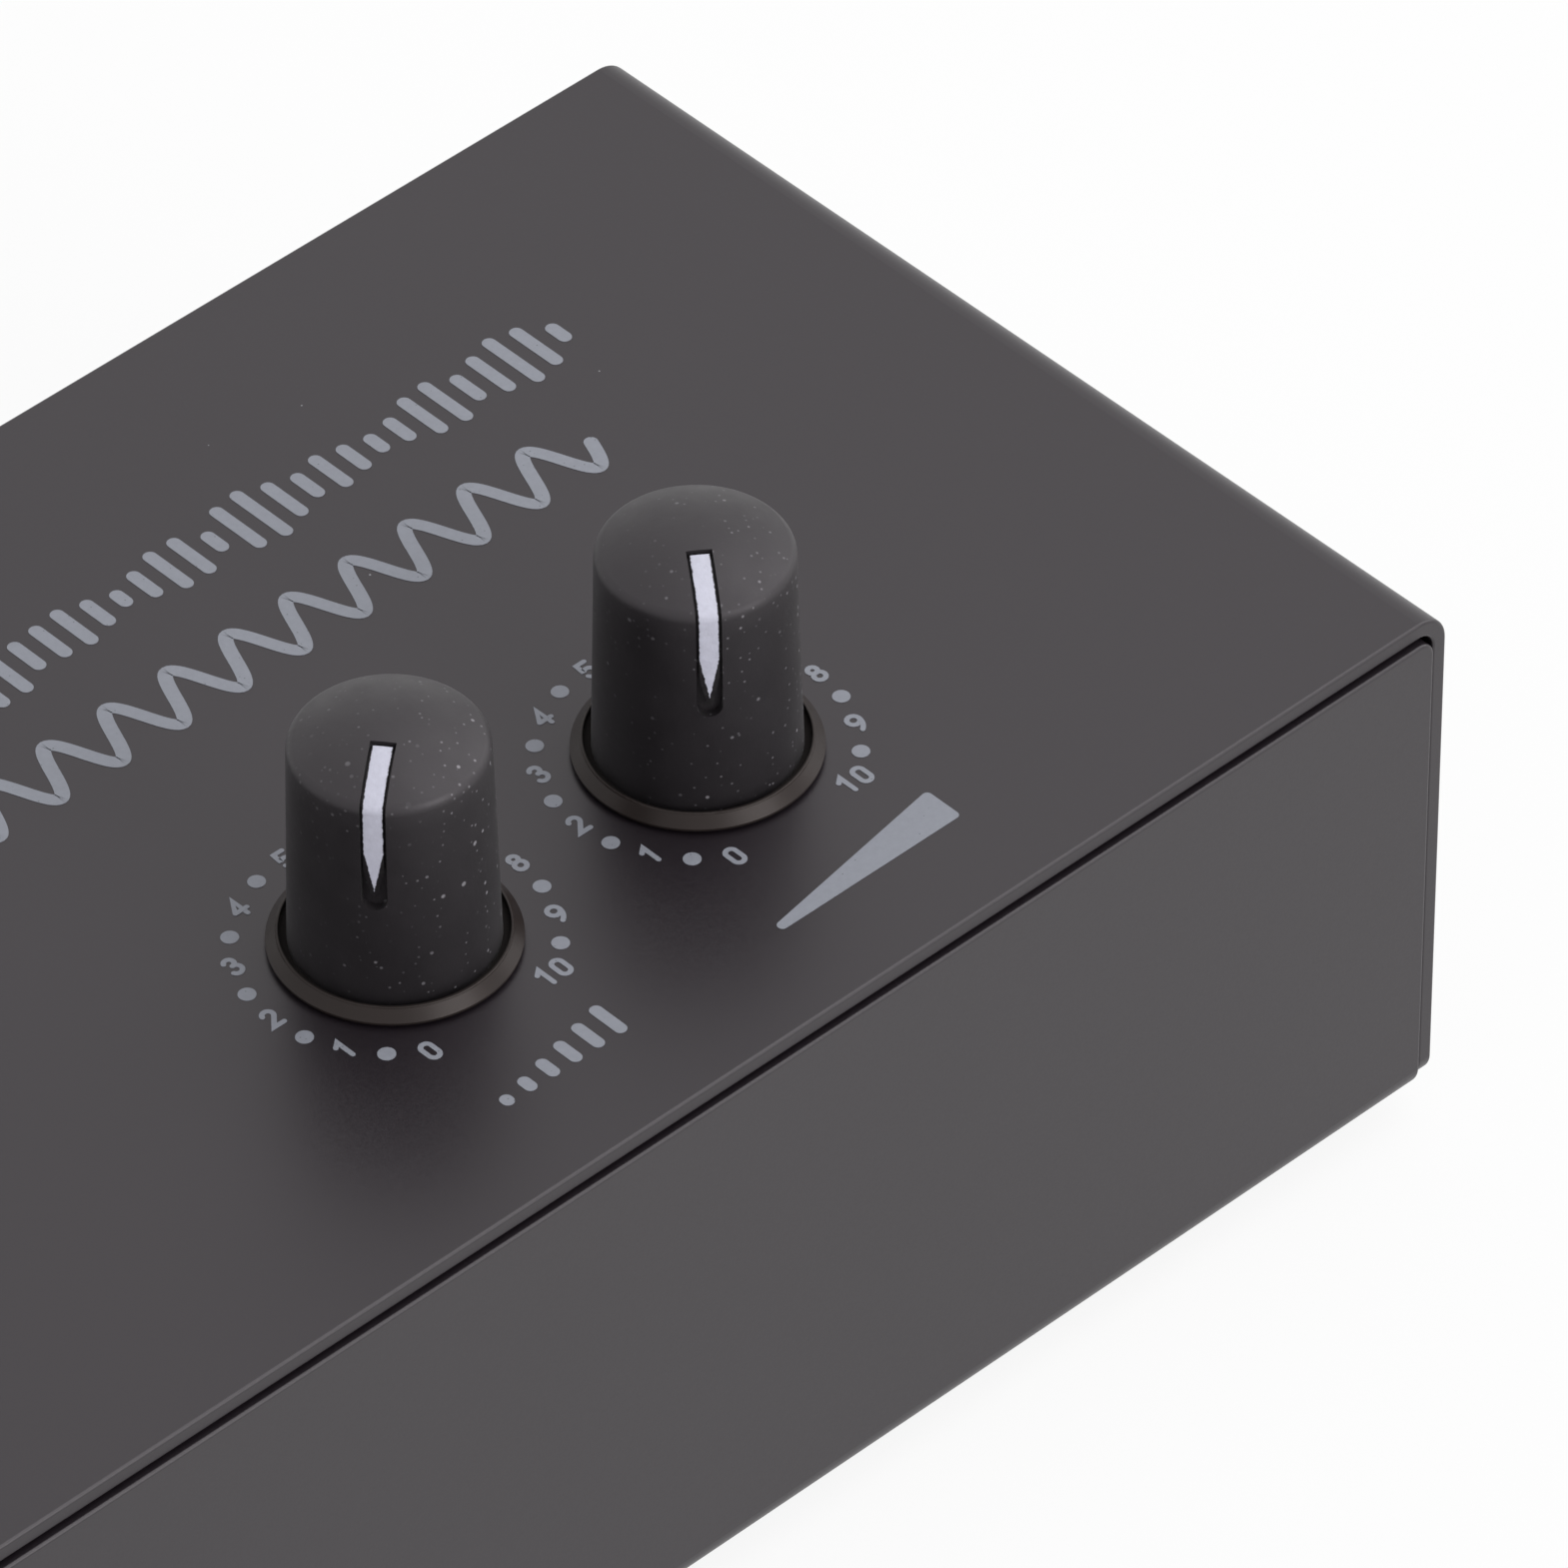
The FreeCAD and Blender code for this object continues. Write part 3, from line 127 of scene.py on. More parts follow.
class KnobSettings(bpy.types.PropertyGroup):
    """Soft rubber sleeve over a hard core."""
    rubber: colour("Rubber", (0.0058, 0.0044, 0.0056), "Colour of the soft sleeve")
    # Colour of the sleeve's lighter crown: partly dust, partly a painted highlight where the top faces the
    # light
    film: colour("Dust film", (0.0255, 0.0225, 0.0250), "Colour of the fine dust on the sleeve's crown")
    lint: colour("Lint", (0.24, 0.23, 0.25), "Colour of the lint on the sleeve")
    rubber_roughness: share("Rubber roughness", 0.50, "How matt the sleeve is")
    rubber_shine: share("Rubber shine", 0.50, "How much the sleeve mirrors")
    core: colour("Core", (0.0185, 0.0140, 0.0130), "Colour of the hard core and its flange")
    pointer: colour("Pointer", (0.56, 0.56, 0.66), "Colour of the pale pointer")
    pointer_width: size("Pointer width", 1.22, "Width of the pointer's pale lacquer")
    dust: share("Dust", 0.80, "How much lint the sleeve has picked up")


class PrintSettings(bpy.types.PropertyGroup):
    """Silk-screen print on the case."""
    ink: colour("Ink", (0.245, 0.256, 0.295), "Colour of the print")
    ink_height: size("Ink height", 0.03, "How far the print stands above the paint")
    ring_radius: size("Ring radius", 10.0, "Radius of a dial's ring of dots")
    dot_diameter: size("Dot diameter", 1.15, "Diameter of a dot between two numbers")
    number_height: size("Number height", 1.75, "Height of a dial number")
    number_stroke: size("Number stroke", 0.34, "Width of a number's strokes")
    stroke: size("Stroke", 0.95, "Width of the strokes in the wide marks")
    fine_stroke: size("Fine stroke", 0.42, "Width of the strokes in the small marks")


class FittingSettings(bpy.types.PropertyGroup):
    """Metal fittings."""
    thread_pitch: size("Thread pitch", 0.7, "Pitch of the earth post's thread")
    thread_depth: size("Thread depth", 0.33, "Depth of the earth post's thread")
    edge: size("Edge", 0.12, "Width of the roundings on turned and moulded edges")


class StudioSettings(bpy.types.PropertyGroup):
    """Floor, lamps, surroundings and camera."""
    floor_width: FloatProperty(name="Floor width", description="Side of the floor", default=6.0,
                               subtype="DISTANCE", unit="LENGTH")
    floor: colour("Floor", (0.86, 0.86, 0.86), "Colour of the floor")
    overhead: power("Overhead lamp", 4.1, "Power of the lamp over the object")
    front: power("Front lamp", 7.6, "Power of the lamp in front")
    right: power("Right lamp", 3.0, "Power of the lamp on the right")
    back: power("Back lamp", 0.15, "Power of the lamp behind")
    ambient: FloatProperty(name="Ambient", description="Strength of the light from all round", default=0.56)
    mirrored: FloatProperty(name="Mirrored", description="Strength of the surroundings in reflections",
                            default=1.0)
    lens: FloatProperty(name="Lens", description="Focal length that gives the photograph's framing",
                        default=321.59, unit="CAMERA")


GROUPS = {"paint": PaintSettings, "knob": KnobSettings, "print": PrintSettings,
          "fitting": FittingSettings, "studio": StudioSettings}


def settings(context, group):
    """The scene's settings of one group."""
    return getattr(context.scene, "preamp_" + group)


# Materials

def arithmetic(tree, operation, *terms, clamp=False):
    """One arithmetic step on sockets or numbers."""
    node = tree.nodes.new("ShaderNodeMath")
    node.operation = operation
    node.use_clamp = clamp
    for slot, term in zip(node.inputs, terms):
        if isinstance(term, bpy.types.NodeSocket):
            tree.links.new(term, slot)
        else:
            slot.default_value = term
    return node.outputs[0]


class Finish:
    """A material being built: its shader, and short ways to add textures that follow the object."""

    def __init__(self, name, base, roughness, metallic=0.0, **constants):
        self.material = bpy.data.materials.new(name)
        self.material.use_nodes = True
        self.tree = self.material.node_tree
        self.shader = self.tree.nodes["Principled BSDF"]
        self.set("Base Color", (*base, 1.0))
        self.set("Roughness", roughness)
        self.set("Metallic", metallic)
        for socket, amount in constants.items():
            self.set(socket.replace("_", " "), amount)
        self.place = self.tree.nodes.new("ShaderNodeTexCoord").outputs["Object"]
        self.normal = None

    def set(self, socket, amount):
        """Give a shader socket a constant."""
        self.shader.inputs[socket].default_value = amount

    def link(self, source, target):
        """Join two sockets."""
        self.tree.links.new(source, target)

    def stretched(self, stretch, offset):
        """The object's coordinates scaled by three factors and shifted, for grain that runs one way."""
        mapping = self.tree.nodes.new("ShaderNodeMapping")
        mapping.inputs["Scale"].default_value = stretch
        mapping.inputs["Location"].default_value = offset
        self.link(self.place, mapping.inputs["Vector"])
        return mapping.outputs["Vector"]

    def noise(self, width, detail=2.0, rough=0.5, stretch=None, offset=(0, 0, 0)):
        """Cloudy values with blotches of about the given width."""
        texture = self.tree.nodes.new("ShaderNodeTexNoise")
        texture.inputs["Scale"].default_value = 1.0 / width
        texture.inputs["Detail"].default_value = detail
        texture.inputs["Roughness"].default_value = rough
        place = self.stretched(stretch or (1, 1, 1), offset) if stretch or any(offset) else self.place
        self.link(place, texture.inputs["Vector"])
        return texture.outputs["Fac"]

    def cells(self, width, randomness=1.0, offset=(0, 0, 0)):
        """Distance from the nearest of many scattered points, and that point's random value."""
        texture = self.tree.nodes.new("ShaderNodeTexVoronoi")
        texture.inputs["Scale"].default_value = 1.0 / width
        texture.inputs["Randomness"].default_value = randomness
        self.link(self.stretched((1, 1, 1), offset), texture.inputs["Vector"])
        return texture.outputs["Distance"], texture.outputs["Color"]

    def steps(self, source, stops):
        """A value remapped through stops, each a position and the value there."""
        node = self.tree.nodes.new("ShaderNodeValToRGB")
        elements = node.color_ramp.elements
        while len(elements) < len(stops):
            elements.new(0.5)
        for element, (position, amount) in zip(elements, stops):
            element.position = position
            element.color = (amount, amount, amount, 1.0)
        self.link(source, node.inputs["Fac"])
        return node.outputs["Color"]

    def bands(self, direction, period, distortion=0.0):
        """Waves along one axis, a crest to each period."""
        texture = self.tree.nodes.new("ShaderNodeTexWave")
        texture.bands_direction = direction
        texture.inputs["Scale"].default_value = WAVE_PERIOD / period
        texture.inputs["Distortion"].default_value = distortion
        self.link(self.place, texture.inputs["Vector"])
        return texture.outputs["Fac"]

    def math(self, operation, *terms, clamp=False):
        """One arithmetic step in this material."""
        return arithmetic(self.tree, operation, *terms, clamp=clamp)

    def mix(self, factor, a, b):
        """A colour between two colours or sockets."""
        node = self.tree.nodes.new("ShaderNodeMix")
        node.data_type = "RGBA"
        for name, amount in (("Factor", factor), ("A", a), ("B", b)):
            kind = "VALUE" if name == "Factor" else "RGBA"
            slot = next(s for s in node.inputs if s.name == name and s.type == kind)
            if isinstance(amount, bpy.types.NodeSocket):
                self.link(amount, slot)
            elif name == "Factor":
                slot.default_value = amount
            else:
                slot.default_value = (*amount, 1.0)
        return next(s for s in node.outputs if s.type == "RGBA")

    def dot(self, direction, origin=(0, 0, 0)):
        """How far a point lies along a direction from an origin, in metres."""
        reach = self.tree.nodes.new("ShaderNodeVectorMath")
        reach.operation = "SUBTRACT"
        self.link(self.place, reach.inputs[0])
        reach.inputs[1].default_value = origin
        node = self.tree.nodes.new("ShaderNodeVectorMath")
        node.operation = "DOT_PRODUCT"
        self.link(reach.outputs[0], node.inputs[0])
        node.inputs[1].default_value = direction
        return node.outputs["Value"]

    def colour_from(self, source):
        """Take the base colour from a socket."""
        self.link(source, self.shader.inputs["Base Color"])

    def roughness_from(self, source, low, high):
        """Let a socket move the roughness between two values."""
        self.link(self.steps(source, [(0.25, low), (0.75, high)]), self.shader.inputs["Roughness"])

    def bump(self, source, height):
        """Raise the surface by a height where the source is 1. Bumps add up."""
        node = self.tree.nodes.new("ShaderNodeBump")
        node.inputs["Strength"].default_value = 1.0
        node.inputs["Distance"].default_value = height
        self.link(source, node.inputs["Height"])
        if self.normal:
            self.link(self.normal, node.inputs["Normal"])
        self.normal = node.outputs["Normal"]
        self.link(self.normal, self.shader.inputs["Normal"])


def shade(base, factor):
    """A colour made lighter or darker."""
    return tuple(min(1.0, channel * factor) for channel in base)


def paint_finish(paint):
    """Satin charcoal paint: fine orange-peel grain, faint clouding and a few specks of lint."""
    base = tuple(paint.tint)
    finish = Finish("satin_charcoal_paint", base, paint.roughness, Specular_IOR_Level=0.62,
                    Specular_Tint=(1.0, 0.96, 0.99, 1.0))
    cloud = finish.noise(14 * MM, detail=3.0)
    grain = finish.noise(paint.grain, rough=0.6)
    tone = finish.mix(cloud, shade(base, 0.93), shade(base, 1.07))
    tone = finish.mix(finish.math("MULTIPLY", grain, 0.35), tone, shade(base, 1.3))
    near, pick = finish.cells(5.5 * MM)
    speck = finish.math("LESS_THAN", near, 0.012)
    rare = finish.math("GREATER_THAN", pick, 0.62)
    finish.colour_from(finish.mix(finish.math("MULTIPLY", speck, rare), tone, tuple(paint.speck)))
    finish.roughness_from(grain, paint.roughness - 0.04, paint.roughness + 0.05)
    finish.bump(grain, paint.grain_height)
    finish.bump(finish.noise(1.1 * MM), 0.0035 * MM)
    return finish.material


# Lint of three sizes: millimetres from one fleck to the next, a fleck's radius as a share of that,
# how pale it is, and a shift that keeps the three apart
LINT_LAYERS = ((0.50, 0.20, 0.60, (0.0, 0.0, 0.0)), (0.90, 0.16, 1.0, (0.3, 0.7, 0.1)),
               (1.9, 0.105, 1.0, (0.9, 0.2, 0.5)))
CROWN_DEPTH = 3.4 * MM    # the lighter crown, partly a dust film and partly a painted highlight, starts this far below the sleeve's top
LINT_SIDE = (0.73, -0.68, 0.0)    # the direction in which the lint grows thicker


def rubber_finish(knob, name):
    """Soft-touch rubber that holds lint, more of it towards the right-hand side, with its crown painted
    lighter: partly a dust film, partly a painted highlight.
    """
    base = tuple(knob.rubber)
    finish = Finish(name + "_soft_touch_rubber", base, knob.rubber_roughness, Sheen_Weight=0.06,
                    Sheen_Roughness=0.45, Specular_IOR_Level=knob.rubber_shine,
                    Specular_Tint=(1.0, 0.95, 1.0, 1.0))
    mottle = finish.noise(2.4 * MM, detail=4.0, rough=0.62)
    tone = finish.mix(mottle, shade(base, 0.78), shade(base, 1.35))
    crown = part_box(name + "_knob_skin")[1].z
    # The crown is painted lighter from CROWN_DEPTH up: partly a dust film, partly a painted highlight where
    # the top faces the overhead light
    rise = finish.dot((0, 0, 1), (0, 0, crown - CROWN_DEPTH))
    film = finish.steps(finish.math("MULTIPLY", rise, 0.5 / MM), [(0.0, 0.0), (0.8, 1.0)])
    tone = finish.mix(finish.math("MULTIPLY", film, 0.5), tone, tuple(knob.film))
    patch = finish.noise(3.5 * MM, offset=(3.1, 0.4, 1.7))
    aside = finish.math("MULTIPLY", finish.dot(LINT_SIDE, control_axis(name)[0]), 0.035 / MM)
    drift = finish.steps(finish.math("ADD", patch, aside), [(0.40, 0.22), (0.66, 1.0)])
    total = None
    for width, reach, pale, offset in LINT_LAYERS:
        near, pick = finish.cells(width * MM, offset=offset)
        soft = finish.steps(near, [(reach * 0.60, 1.0), (reach, 0.0)])
        kept = finish.steps(pick, [(0.55, 0.0), (0.66, pale)])
        fleck = finish.math("MULTIPLY", soft, kept)
        total = fleck if total is None else finish.math("MAXIMUM", total, fleck)
    lint = finish.math("MULTIPLY", finish.math("MULTIPLY", total, drift), knob.dust, clamp=True)
    finish.colour_from(finish.mix(lint, tone, tuple(knob.lint)))
    finish.roughness_from(mottle, knob.rubber_roughness - 0.05, knob.rubber_roughness + 0.08)
    finish.bump(finish.noise(0.11 * MM, rough=0.6), 0.004 * MM)
    finish.bump(mottle, 0.02 * MM)
    return finish.material


def moulded_finish(name, base, roughness, texture=0.12, height=0.003):
    """Moulded plastic: spark-eroded texture and slight flow clouding. Sizes in millimetres."""
    finish = Finish(name, base, roughness)
    flow = finish.noise(6.0 * MM, detail=3.0, stretch=(1.0, 1.0, 0.4))
    finish.colour_from(finish.mix(flow, shade(base, 0.85), shade(base, 1.18)))
    spark = finish.noise(texture * MM, rough=0.65)
    finish.roughness_from(spark, max(roughness - 0.06, 0.02), roughness + 0.08)
    finish.bump(spark, height * MM)
    return finish.material


def metal_finish(name, base, roughness, stretch=None):
    """Bare or plated metal with fine tool marks and slight tarnish."""
    finish = Finish(name, base, roughness, metallic=1.0)
    marks = finish.noise(0.25 * MM, detail=3.0, rough=0.6, stretch=stretch)
    tarnish = finish.noise(3.5 * MM, detail=4.0, rough=0.6)
    finish.colour_from(finish.mix(tarnish, shade(base, 0.86), shade(base, 1.05)))
    finish.roughness_from(marks, max(roughness - 0.07, 0.03), roughness + 0.10)
    finish.bump(marks, 0.0015 * MM)
    return finish.material


def ink_finish(ink):
    """Silk-screen ink: slightly uneven, with pinholes."""
    base = tuple(ink.ink)
    finish = Finish("screen_ink", base, 0.55)
    body = finish.noise(0.35 * MM, detail=3.0, rough=0.6)
    tone = finish.mix(body, shade(base, 0.86), shade(base, 1.12))
    near, pick = finish.cells(0.33 * MM)
    tiny = finish.math("LESS_THAN", near, 0.16)
    pinhole = finish.math("MULTIPLY", tiny, finish.math("GREATER_THAN", pick, 0.8))
    finish.colour_from(finish.mix(pinhole, tone, shade(base, 0.55)))
    finish.roughness_from(body, 0.48, 0.62)
    finish.bump(body, 0.004 * MM)
    return finish.material


def core_finish(knob, name):
    """Hard plastic core: its flange is bare, and the groove round the sleeve is painted dark and made matt,
    as painted shade.
    """
    base = tuple(knob.core)
    bare_roughness, groove_roughness = 0.34, 0.85
    finish = Finish(name + "_knob_core_plastic", base, bare_roughness, Specular_IOR_Level=0.26,
                    Specular_Tint=(1.0, 0.92, 0.90, 1.0))
    axis = control_axis(name)[0]
    east = finish.dot((1, 0, 0), axis)
    north = finish.dot((0, 1, 0), axis)
    square = finish.math("ADD", finish.math("MULTIPLY", east, east), finish.math("MULTIPLY", north, north))
    reach = finish.math("POWER", square, 0.5)
    low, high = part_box(name + "_knob_core")
    inward = finish.math("SUBTRACT", (high.x - low.x) / 2, reach)
    # Painted shade: a mask for the groove round the sleeve, where the flange lies in shade
    groove = finish.steps(finish.math("MULTIPLY", inward, 1.0 / MM), [(0.72, 0.0), (0.80, 1.0)])
    flow = finish.noise(2.5 * MM, detail=3.0)
    tone = finish.mix(flow, shade(base, 0.85), shade(base, 1.18))
    # Painted shade: the groove's colour darkened to a quarter of the core's
    finish.colour_from(finish.mix(groove, tone, shade(base, 0.25)))
    finish.link(finish.steps(groove, [(0.0, bare_roughness), (1.0, groove_roughness)]),
                finish.shader.inputs["Roughness"])
    finish.bump(finish.noise(0.2 * MM, rough=0.65), 0.002 * MM)
    return finish.material


def pointer_finish(knob, name):
    """Pale lacquer in the knob's slot: it ends in a taper, and its edges are a little ragged."""
    base = tuple(knob.pointer)
    finish = Finish(name + "_pointer_lacquer", base, 0.38)
    body = finish.noise(0.5 * MM, detail=3.0, rough=0.6)
    tone = finish.mix(body, shade(base, 0.84), shade(base, 1.10))
    axis, rest_turn = control_axis(name)
    heading = math.radians(rest_turn - DIAL_HALF_TURN)
    ahead = Vector((math.sin(heading), math.cos(heading), 0.0))
    tip_gap, taper, rag_depth, fade = 0.5 * MM, 0.20, 0.22 * MM, 0.05 * MM
    rise = finish.dot((0, 0, 1), (0, 0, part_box(name + "_knob_pointer")[0].z + tip_gap))
    half = finish.math("MINIMUM", finish.math("MULTIPLY", rise, taper), knob.pointer_width / 2)
    across = finish.math("ABSOLUTE", finish.dot((ahead.y, -ahead.x, 0.0), axis))
    rag = finish.math("MULTIPLY", finish.noise(0.28 * MM, detail=3.0, rough=0.7), rag_depth)
    ragged = finish.math("ADD", across, finish.math("SUBTRACT", rag, rag_depth / 2))
    margin = finish.math("SUBTRACT", half, ragged)
    bare = finish.steps(finish.math("MULTIPLY", margin, 1.0 / fade), [(0.0, 1.0), (1.0, 0.0)])
    finish.colour_from(finish.mix(bare, tone, tuple(knob.rubber)))
    finish.roughness_from(body, 0.32, 0.46)
    finish.bump(body, 0.03 * MM)
    return finish.material


def board_finish():
    """Green solder mask over copper tracks, with tinned pads."""
    mask, over_copper, tin = (0.010, 0.085, 0.040), (0.022, 0.16, 0.065), (0.62, 0.62, 0.58)
    finish = Finish("solder_mask", mask, 0.30)
    hole_pitch = 2.54 * MM
    weave = finish.noise(0.5 * MM, stretch=(1.0, 3.0, 1.0))
    near, pick = finish.cells(hole_pitch, randomness=0.35)
    pad = finish.steps(near, [(0.20, 1.0), (0.22, 0.0)])
    chosen = finish.math("GREATER_THAN", pick, 0.45)
    run, _ = finish.cells(2 * hole_pitch, randomness=0.2, offset=(0.4, 0.9, 0.0))
    track = finish.steps(run, [(0.42, 0.0), (0.45, 1.0), (0.52, 1.0), (0.55, 0.0)])
    tone = finish.mix(track, finish.mix(weave, shade(mask, 0.85), shade(mask, 1.1)), over_copper)
    finish.colour_from(finish.mix(finish.math("MULTIPLY", pad, chosen), tone, tin))
    finish.bump(track, 0.03 * MM)
    return finish.material


def sleeve_finish():
    """Printed plastic sleeve of a capacitor can, with a pale stripe down one side."""
    base, pale = (0.012, 0.018, 0.05), (0.45, 0.47, 0.50)
    finish = Finish("can_sleeve_film", base, 0.32)
    stripe = finish.steps(finish.bands("X", 11.0 * MM), [(0.93, 0.0), (0.95, 1.0)])
    finish.colour_from(finish.mix(stripe, base, pale))
    finish.bump(finish.noise(1.2 * MM), 0.02 * MM)
    return finish.material


def clear_finish(name, base, roughness=0.12):
    """Clear or tinted plastic with faint flow lines."""
    finish = Finish(name, base, roughness, Transmission_Weight=0.85, IOR=1.49)
    flow = finish.noise(1.5 * MM, stretch=(1.0, 0.3, 1.0))
    finish.colour_from(finish.mix(flow, shade(base, 0.92), shade(base, 1.05)))
    finish.roughness_from(flow, roughness - 0.04, roughness + 0.08)
    finish.bump(flow, 0.004 * MM)
    return finish.material


def striped_finish(name, base, band, other_band):
    """A small lacquered body with bands of two colours across it."""
    finish = Finish(name, base, 0.34)
    stripe = finish.steps(finish.bands("Y", 1.25 * MM, distortion=0.15), [(0.80, 0.0), (0.86, 1.0)])
    chosen = finish.steps(finish.noise(2.5 * MM, detail=1.0), [(0.45, 0.0), (0.55, 1.0)])
    finish.colour_from(finish.mix(stripe, base, finish.mix(chosen, band, other_band)))
    finish.bump(finish.noise(0.6 * MM), 0.02 * MM)
    return finish.material


def dress(nodes, material):
    """Give CAD nodes one finish."""
    for name in [nodes] if isinstance(nodes, str) else nodes:
        slots = NODES[name].data.materials
        slots.clear()
        slots.append(material)


def ease_edges(nodes, width):
    """Round the sharp edges of CAD nodes with modifiers, so that they catch the light."""
    for name in [nodes] if isinstance(nodes, str) else nodes:
        node = NODES[name]
        weld = node.modifiers.new("weld", "WELD")
        weld.merge_threshold = CAD_WELD_REACH
        bevel = node.modifiers.new("ease", "BEVEL")
        bevel.width = width
        bevel.segments = 2
        bevel.limit_method = "ANGLE"
        bevel.angle_limit = EASE_ANGLE
        bevel.use_clamp_overlap = True
        bevel.harden_normals = True


# Mesh building

def place_mesh(name, form, material):
    """Turn a bmesh into an object with one finish."""
    mesh = bpy.data.meshes.new(name)
    form.to_mesh(mesh)
    form.free()
    mesh.materials.append(material)
    thing = bpy.data.objects.new(name, mesh)
    bpy.context.scene.collection.objects.link(thing)
    return thing


def piece(name, form, material, body="root"):
    """Turn a bmesh in the frame's coordinates into a piece that rides on a body."""
    bmesh.ops.remove_doubles(form, verts=form.verts, dist=WELD_REACH)
    bmesh.ops.recalc_face_normals(form, faces=form.faces)
    thing = place_mesh(name, form, material)
    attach(thing, body)
    return thing


def stamp(form, outline, low, high, place):
    """Add a flat printed shape with square sides: an outline of (x, y) points, run anticlockwise."""
    rings = [[form.verts.new(place @ Vector((x, y, z))) for x, y in outline] for z in (low, high)]
    form.faces.new(rings[1])
    form.faces.new(list(reversed(rings[0])))
    count = len(outline)
    for i in range(count):
        j = (i + 1) % count
        form.faces.new((rings[0][i], rings[0][j], rings[1][j], rings[1][i]))


def round_end(centre, radius, start, sweep, steps=10):
    """Points on an arc, angles in degrees."""
    angles = [math.radians(start + sweep * i / steps) for i in range(steps + 1)]
    return [(centre[0] + radius * math.cos(angle), centre[1] + radius * math.sin(angle)) for angle in angles]


def bar(start, end, width):
    """Outline of a straight stroke with round ends."""
    along = math.degrees(math.atan2(end[1] - start[1], end[0] - start[0]))
    return round_end(end, width / 2, along - 90, 180) + round_end(start, width / 2, along + 90, 180)


def disc(centre, radius, steps=28):
    """Outline of a round dot."""
    return round_end(centre, radius, 0, 360, steps)[:-1]


def ribbon(form, line, width, low, high, place, closed=False):
    """Add a printed stroke of constant width along (x, y) points, with mitred turns and round ends."""
    points = [Vector(point) for point in line]
    count = len(points)
    rails = []
    for i, point in enumerate(points):
        before = points[i - 1] if closed or i else None
        after = points[(i + 1) % count] if closed or i < count - 1 else None
        come = (point - before).normalized() if before else (after - point).normalized()
        leave = (after - point).normalized() if after else come
        along = (come + leave).normalized()
        reach = width / 2 / max(MITRE_LIMIT, along.dot(leave))
        side = Vector((-along.y, along.x)) * reach
        rails.append((point + side, point - side))
    strips = []
    for z in (low, high):
        strips.append([[form.verts.new(place @ Vector((*p, z))) for p in rail] for rail in rails])
    under, over = strips
    for i in range(count if closed else count - 1):
        j = (i + 1) % count
        form.faces.new((over[i][1], over[j][1], over[j][0], over[i][0]))
        form.faces.new((under[i][0], under[j][0], under[j][1], under[i][1]))
        form.faces.new((over[i][0], over[j][0], under[j][0], under[i][0]))
        form.faces.new((under[i][1], under[j][1], over[j][1], over[i][1]))
    if closed:
        return
    for end, inner, left, right in ((0, 1, 0, 1), (-1, -2, 1, 0)):
        out = points[end] - points[inner]
        angle = math.degrees(math.atan2(out.y, out.x))
        arc = round_end(points[end], width / 2, angle - 90, 180, 8)[1:-1]
        caps = [[strips[level][end][left]] + [form.verts.new(place @ Vector((*p, z))) for p in arc]
                + [strips[level][end][right]] for level, z in enumerate((low, high))]
        form.faces.new(caps[1])
        form.faces.new(list(reversed(caps[0])))
        for i in range(len(arc) + 1):
            form.faces.new((caps[0][i], caps[0][i + 1], caps[1][i + 1], caps[1][i]))


def digit_strokes(digit):
    """Centre lines of a bold upright digit one unit tall: lists of points, and whether each is closed."""
    low, high, half = 0.10, 0.90, 0.21
    bowl = 0.235

    def arc(x, y, radius, begin, turn):
        return round_end((x, y), radius, begin, turn, 14)

    upper, lower = high - 0.19, low + bowl
    tail = arc(0.42, lower, 0.42 + bowl, 180, -58)
    shapes = {
        "0": [(arc(0, high - half, half, 0, 180) + arc(0, low + half, half, 180, 180), True)],
        "1": [([(-0.17, 0.72), (0.05, high), (0.05, low)], False)],
        "2": [(arc(0, high - half, half, 165, -205) + [(-half - 0.02, low), (half + 0.02, low)], False)],
        "3": [(arc(0, upper, 0.19, 155, -245), False), (arc(0, lower - 0.02, bowl - 0.02, 90, -245), False)],
        "4": [([(0.10, low), (0.10, high), (-0.25, 0.34)], False), ([(-0.25, 0.34), (0.27, 0.34)], False)],
        "5": [([(half, high), (-0.17, high), (-0.20, 0.53)] + arc(0, lower, bowl, 128, -278), False)],
        "6": [(arc(0, lower, bowl, 0, 350), True), (tail, False)],
        "7": [([(-half, high), (half, high), (-0.04, low)], False)],
        "8": [(arc(0, upper, 0.18, 0, 350), True), (arc(0, lower - 0.01, 0.22, 0, 350), True)],
    }
    if digit == "9":
        return [([(-x, 1.0 - y) for x, y in line], closed) for line, closed in shapes["6"]]
    return shapes[digit]


def numeral(form, text, height, stroke, low, high, place):
    """Add a number, centred on the place's origin. A digit's second stroke stands a hair above its first."""
    for i, digit in enumerate(text):
        across = (i - (len(text) - 1) / 2) * DIGIT_PITCH
        for layer, (line, closed) in enumerate(digit_strokes(digit)):
            scaled = [((x + across) * height, (y - 0.5) * height) for x, y in line]
            ribbon(form, scaled, stroke, low, high + layer * STROKE_STEP, place, closed)


# Where the print goes, relative to a control's axis or a rear fitting

def mix_ink(context):
    """The print's settings, its underside, sunk a little into the paint, its top and its finish."""
    ink = settings(context, "print")
    return ink, -INK_SINK * ink.ink_height, ink.ink_height, ink_finish(ink)


def on_top(x, y):
    """A frame for print on the case's top, read from the front."""
    return Matrix.Translation((x, y, CASE_TOP))


def on_rear(x, z):
    """A frame for print on the rear panel, read from behind."""
    facing_back = Matrix(((-1, 0, 0, 0), (0, 0, 1, 0), (0, 1, 0, 0), (0, 0, 0, 1)))
    return Matrix.Translation((x, REAR_FACE, z)) @ facing_back


# Operators: each finishes or builds one group of pieces

class PREAMP_OT_paint_case(bpy.types.Operator):
    """Paint the folded cover and chassis"""
    bl_idname = "preamp.paint_case"
    bl_label = "Paint case"

    def execute(self, context):
        dress(("top_cover", "chassis"), paint_finish(settings(context, "paint")))
        return {"FINISHED"}


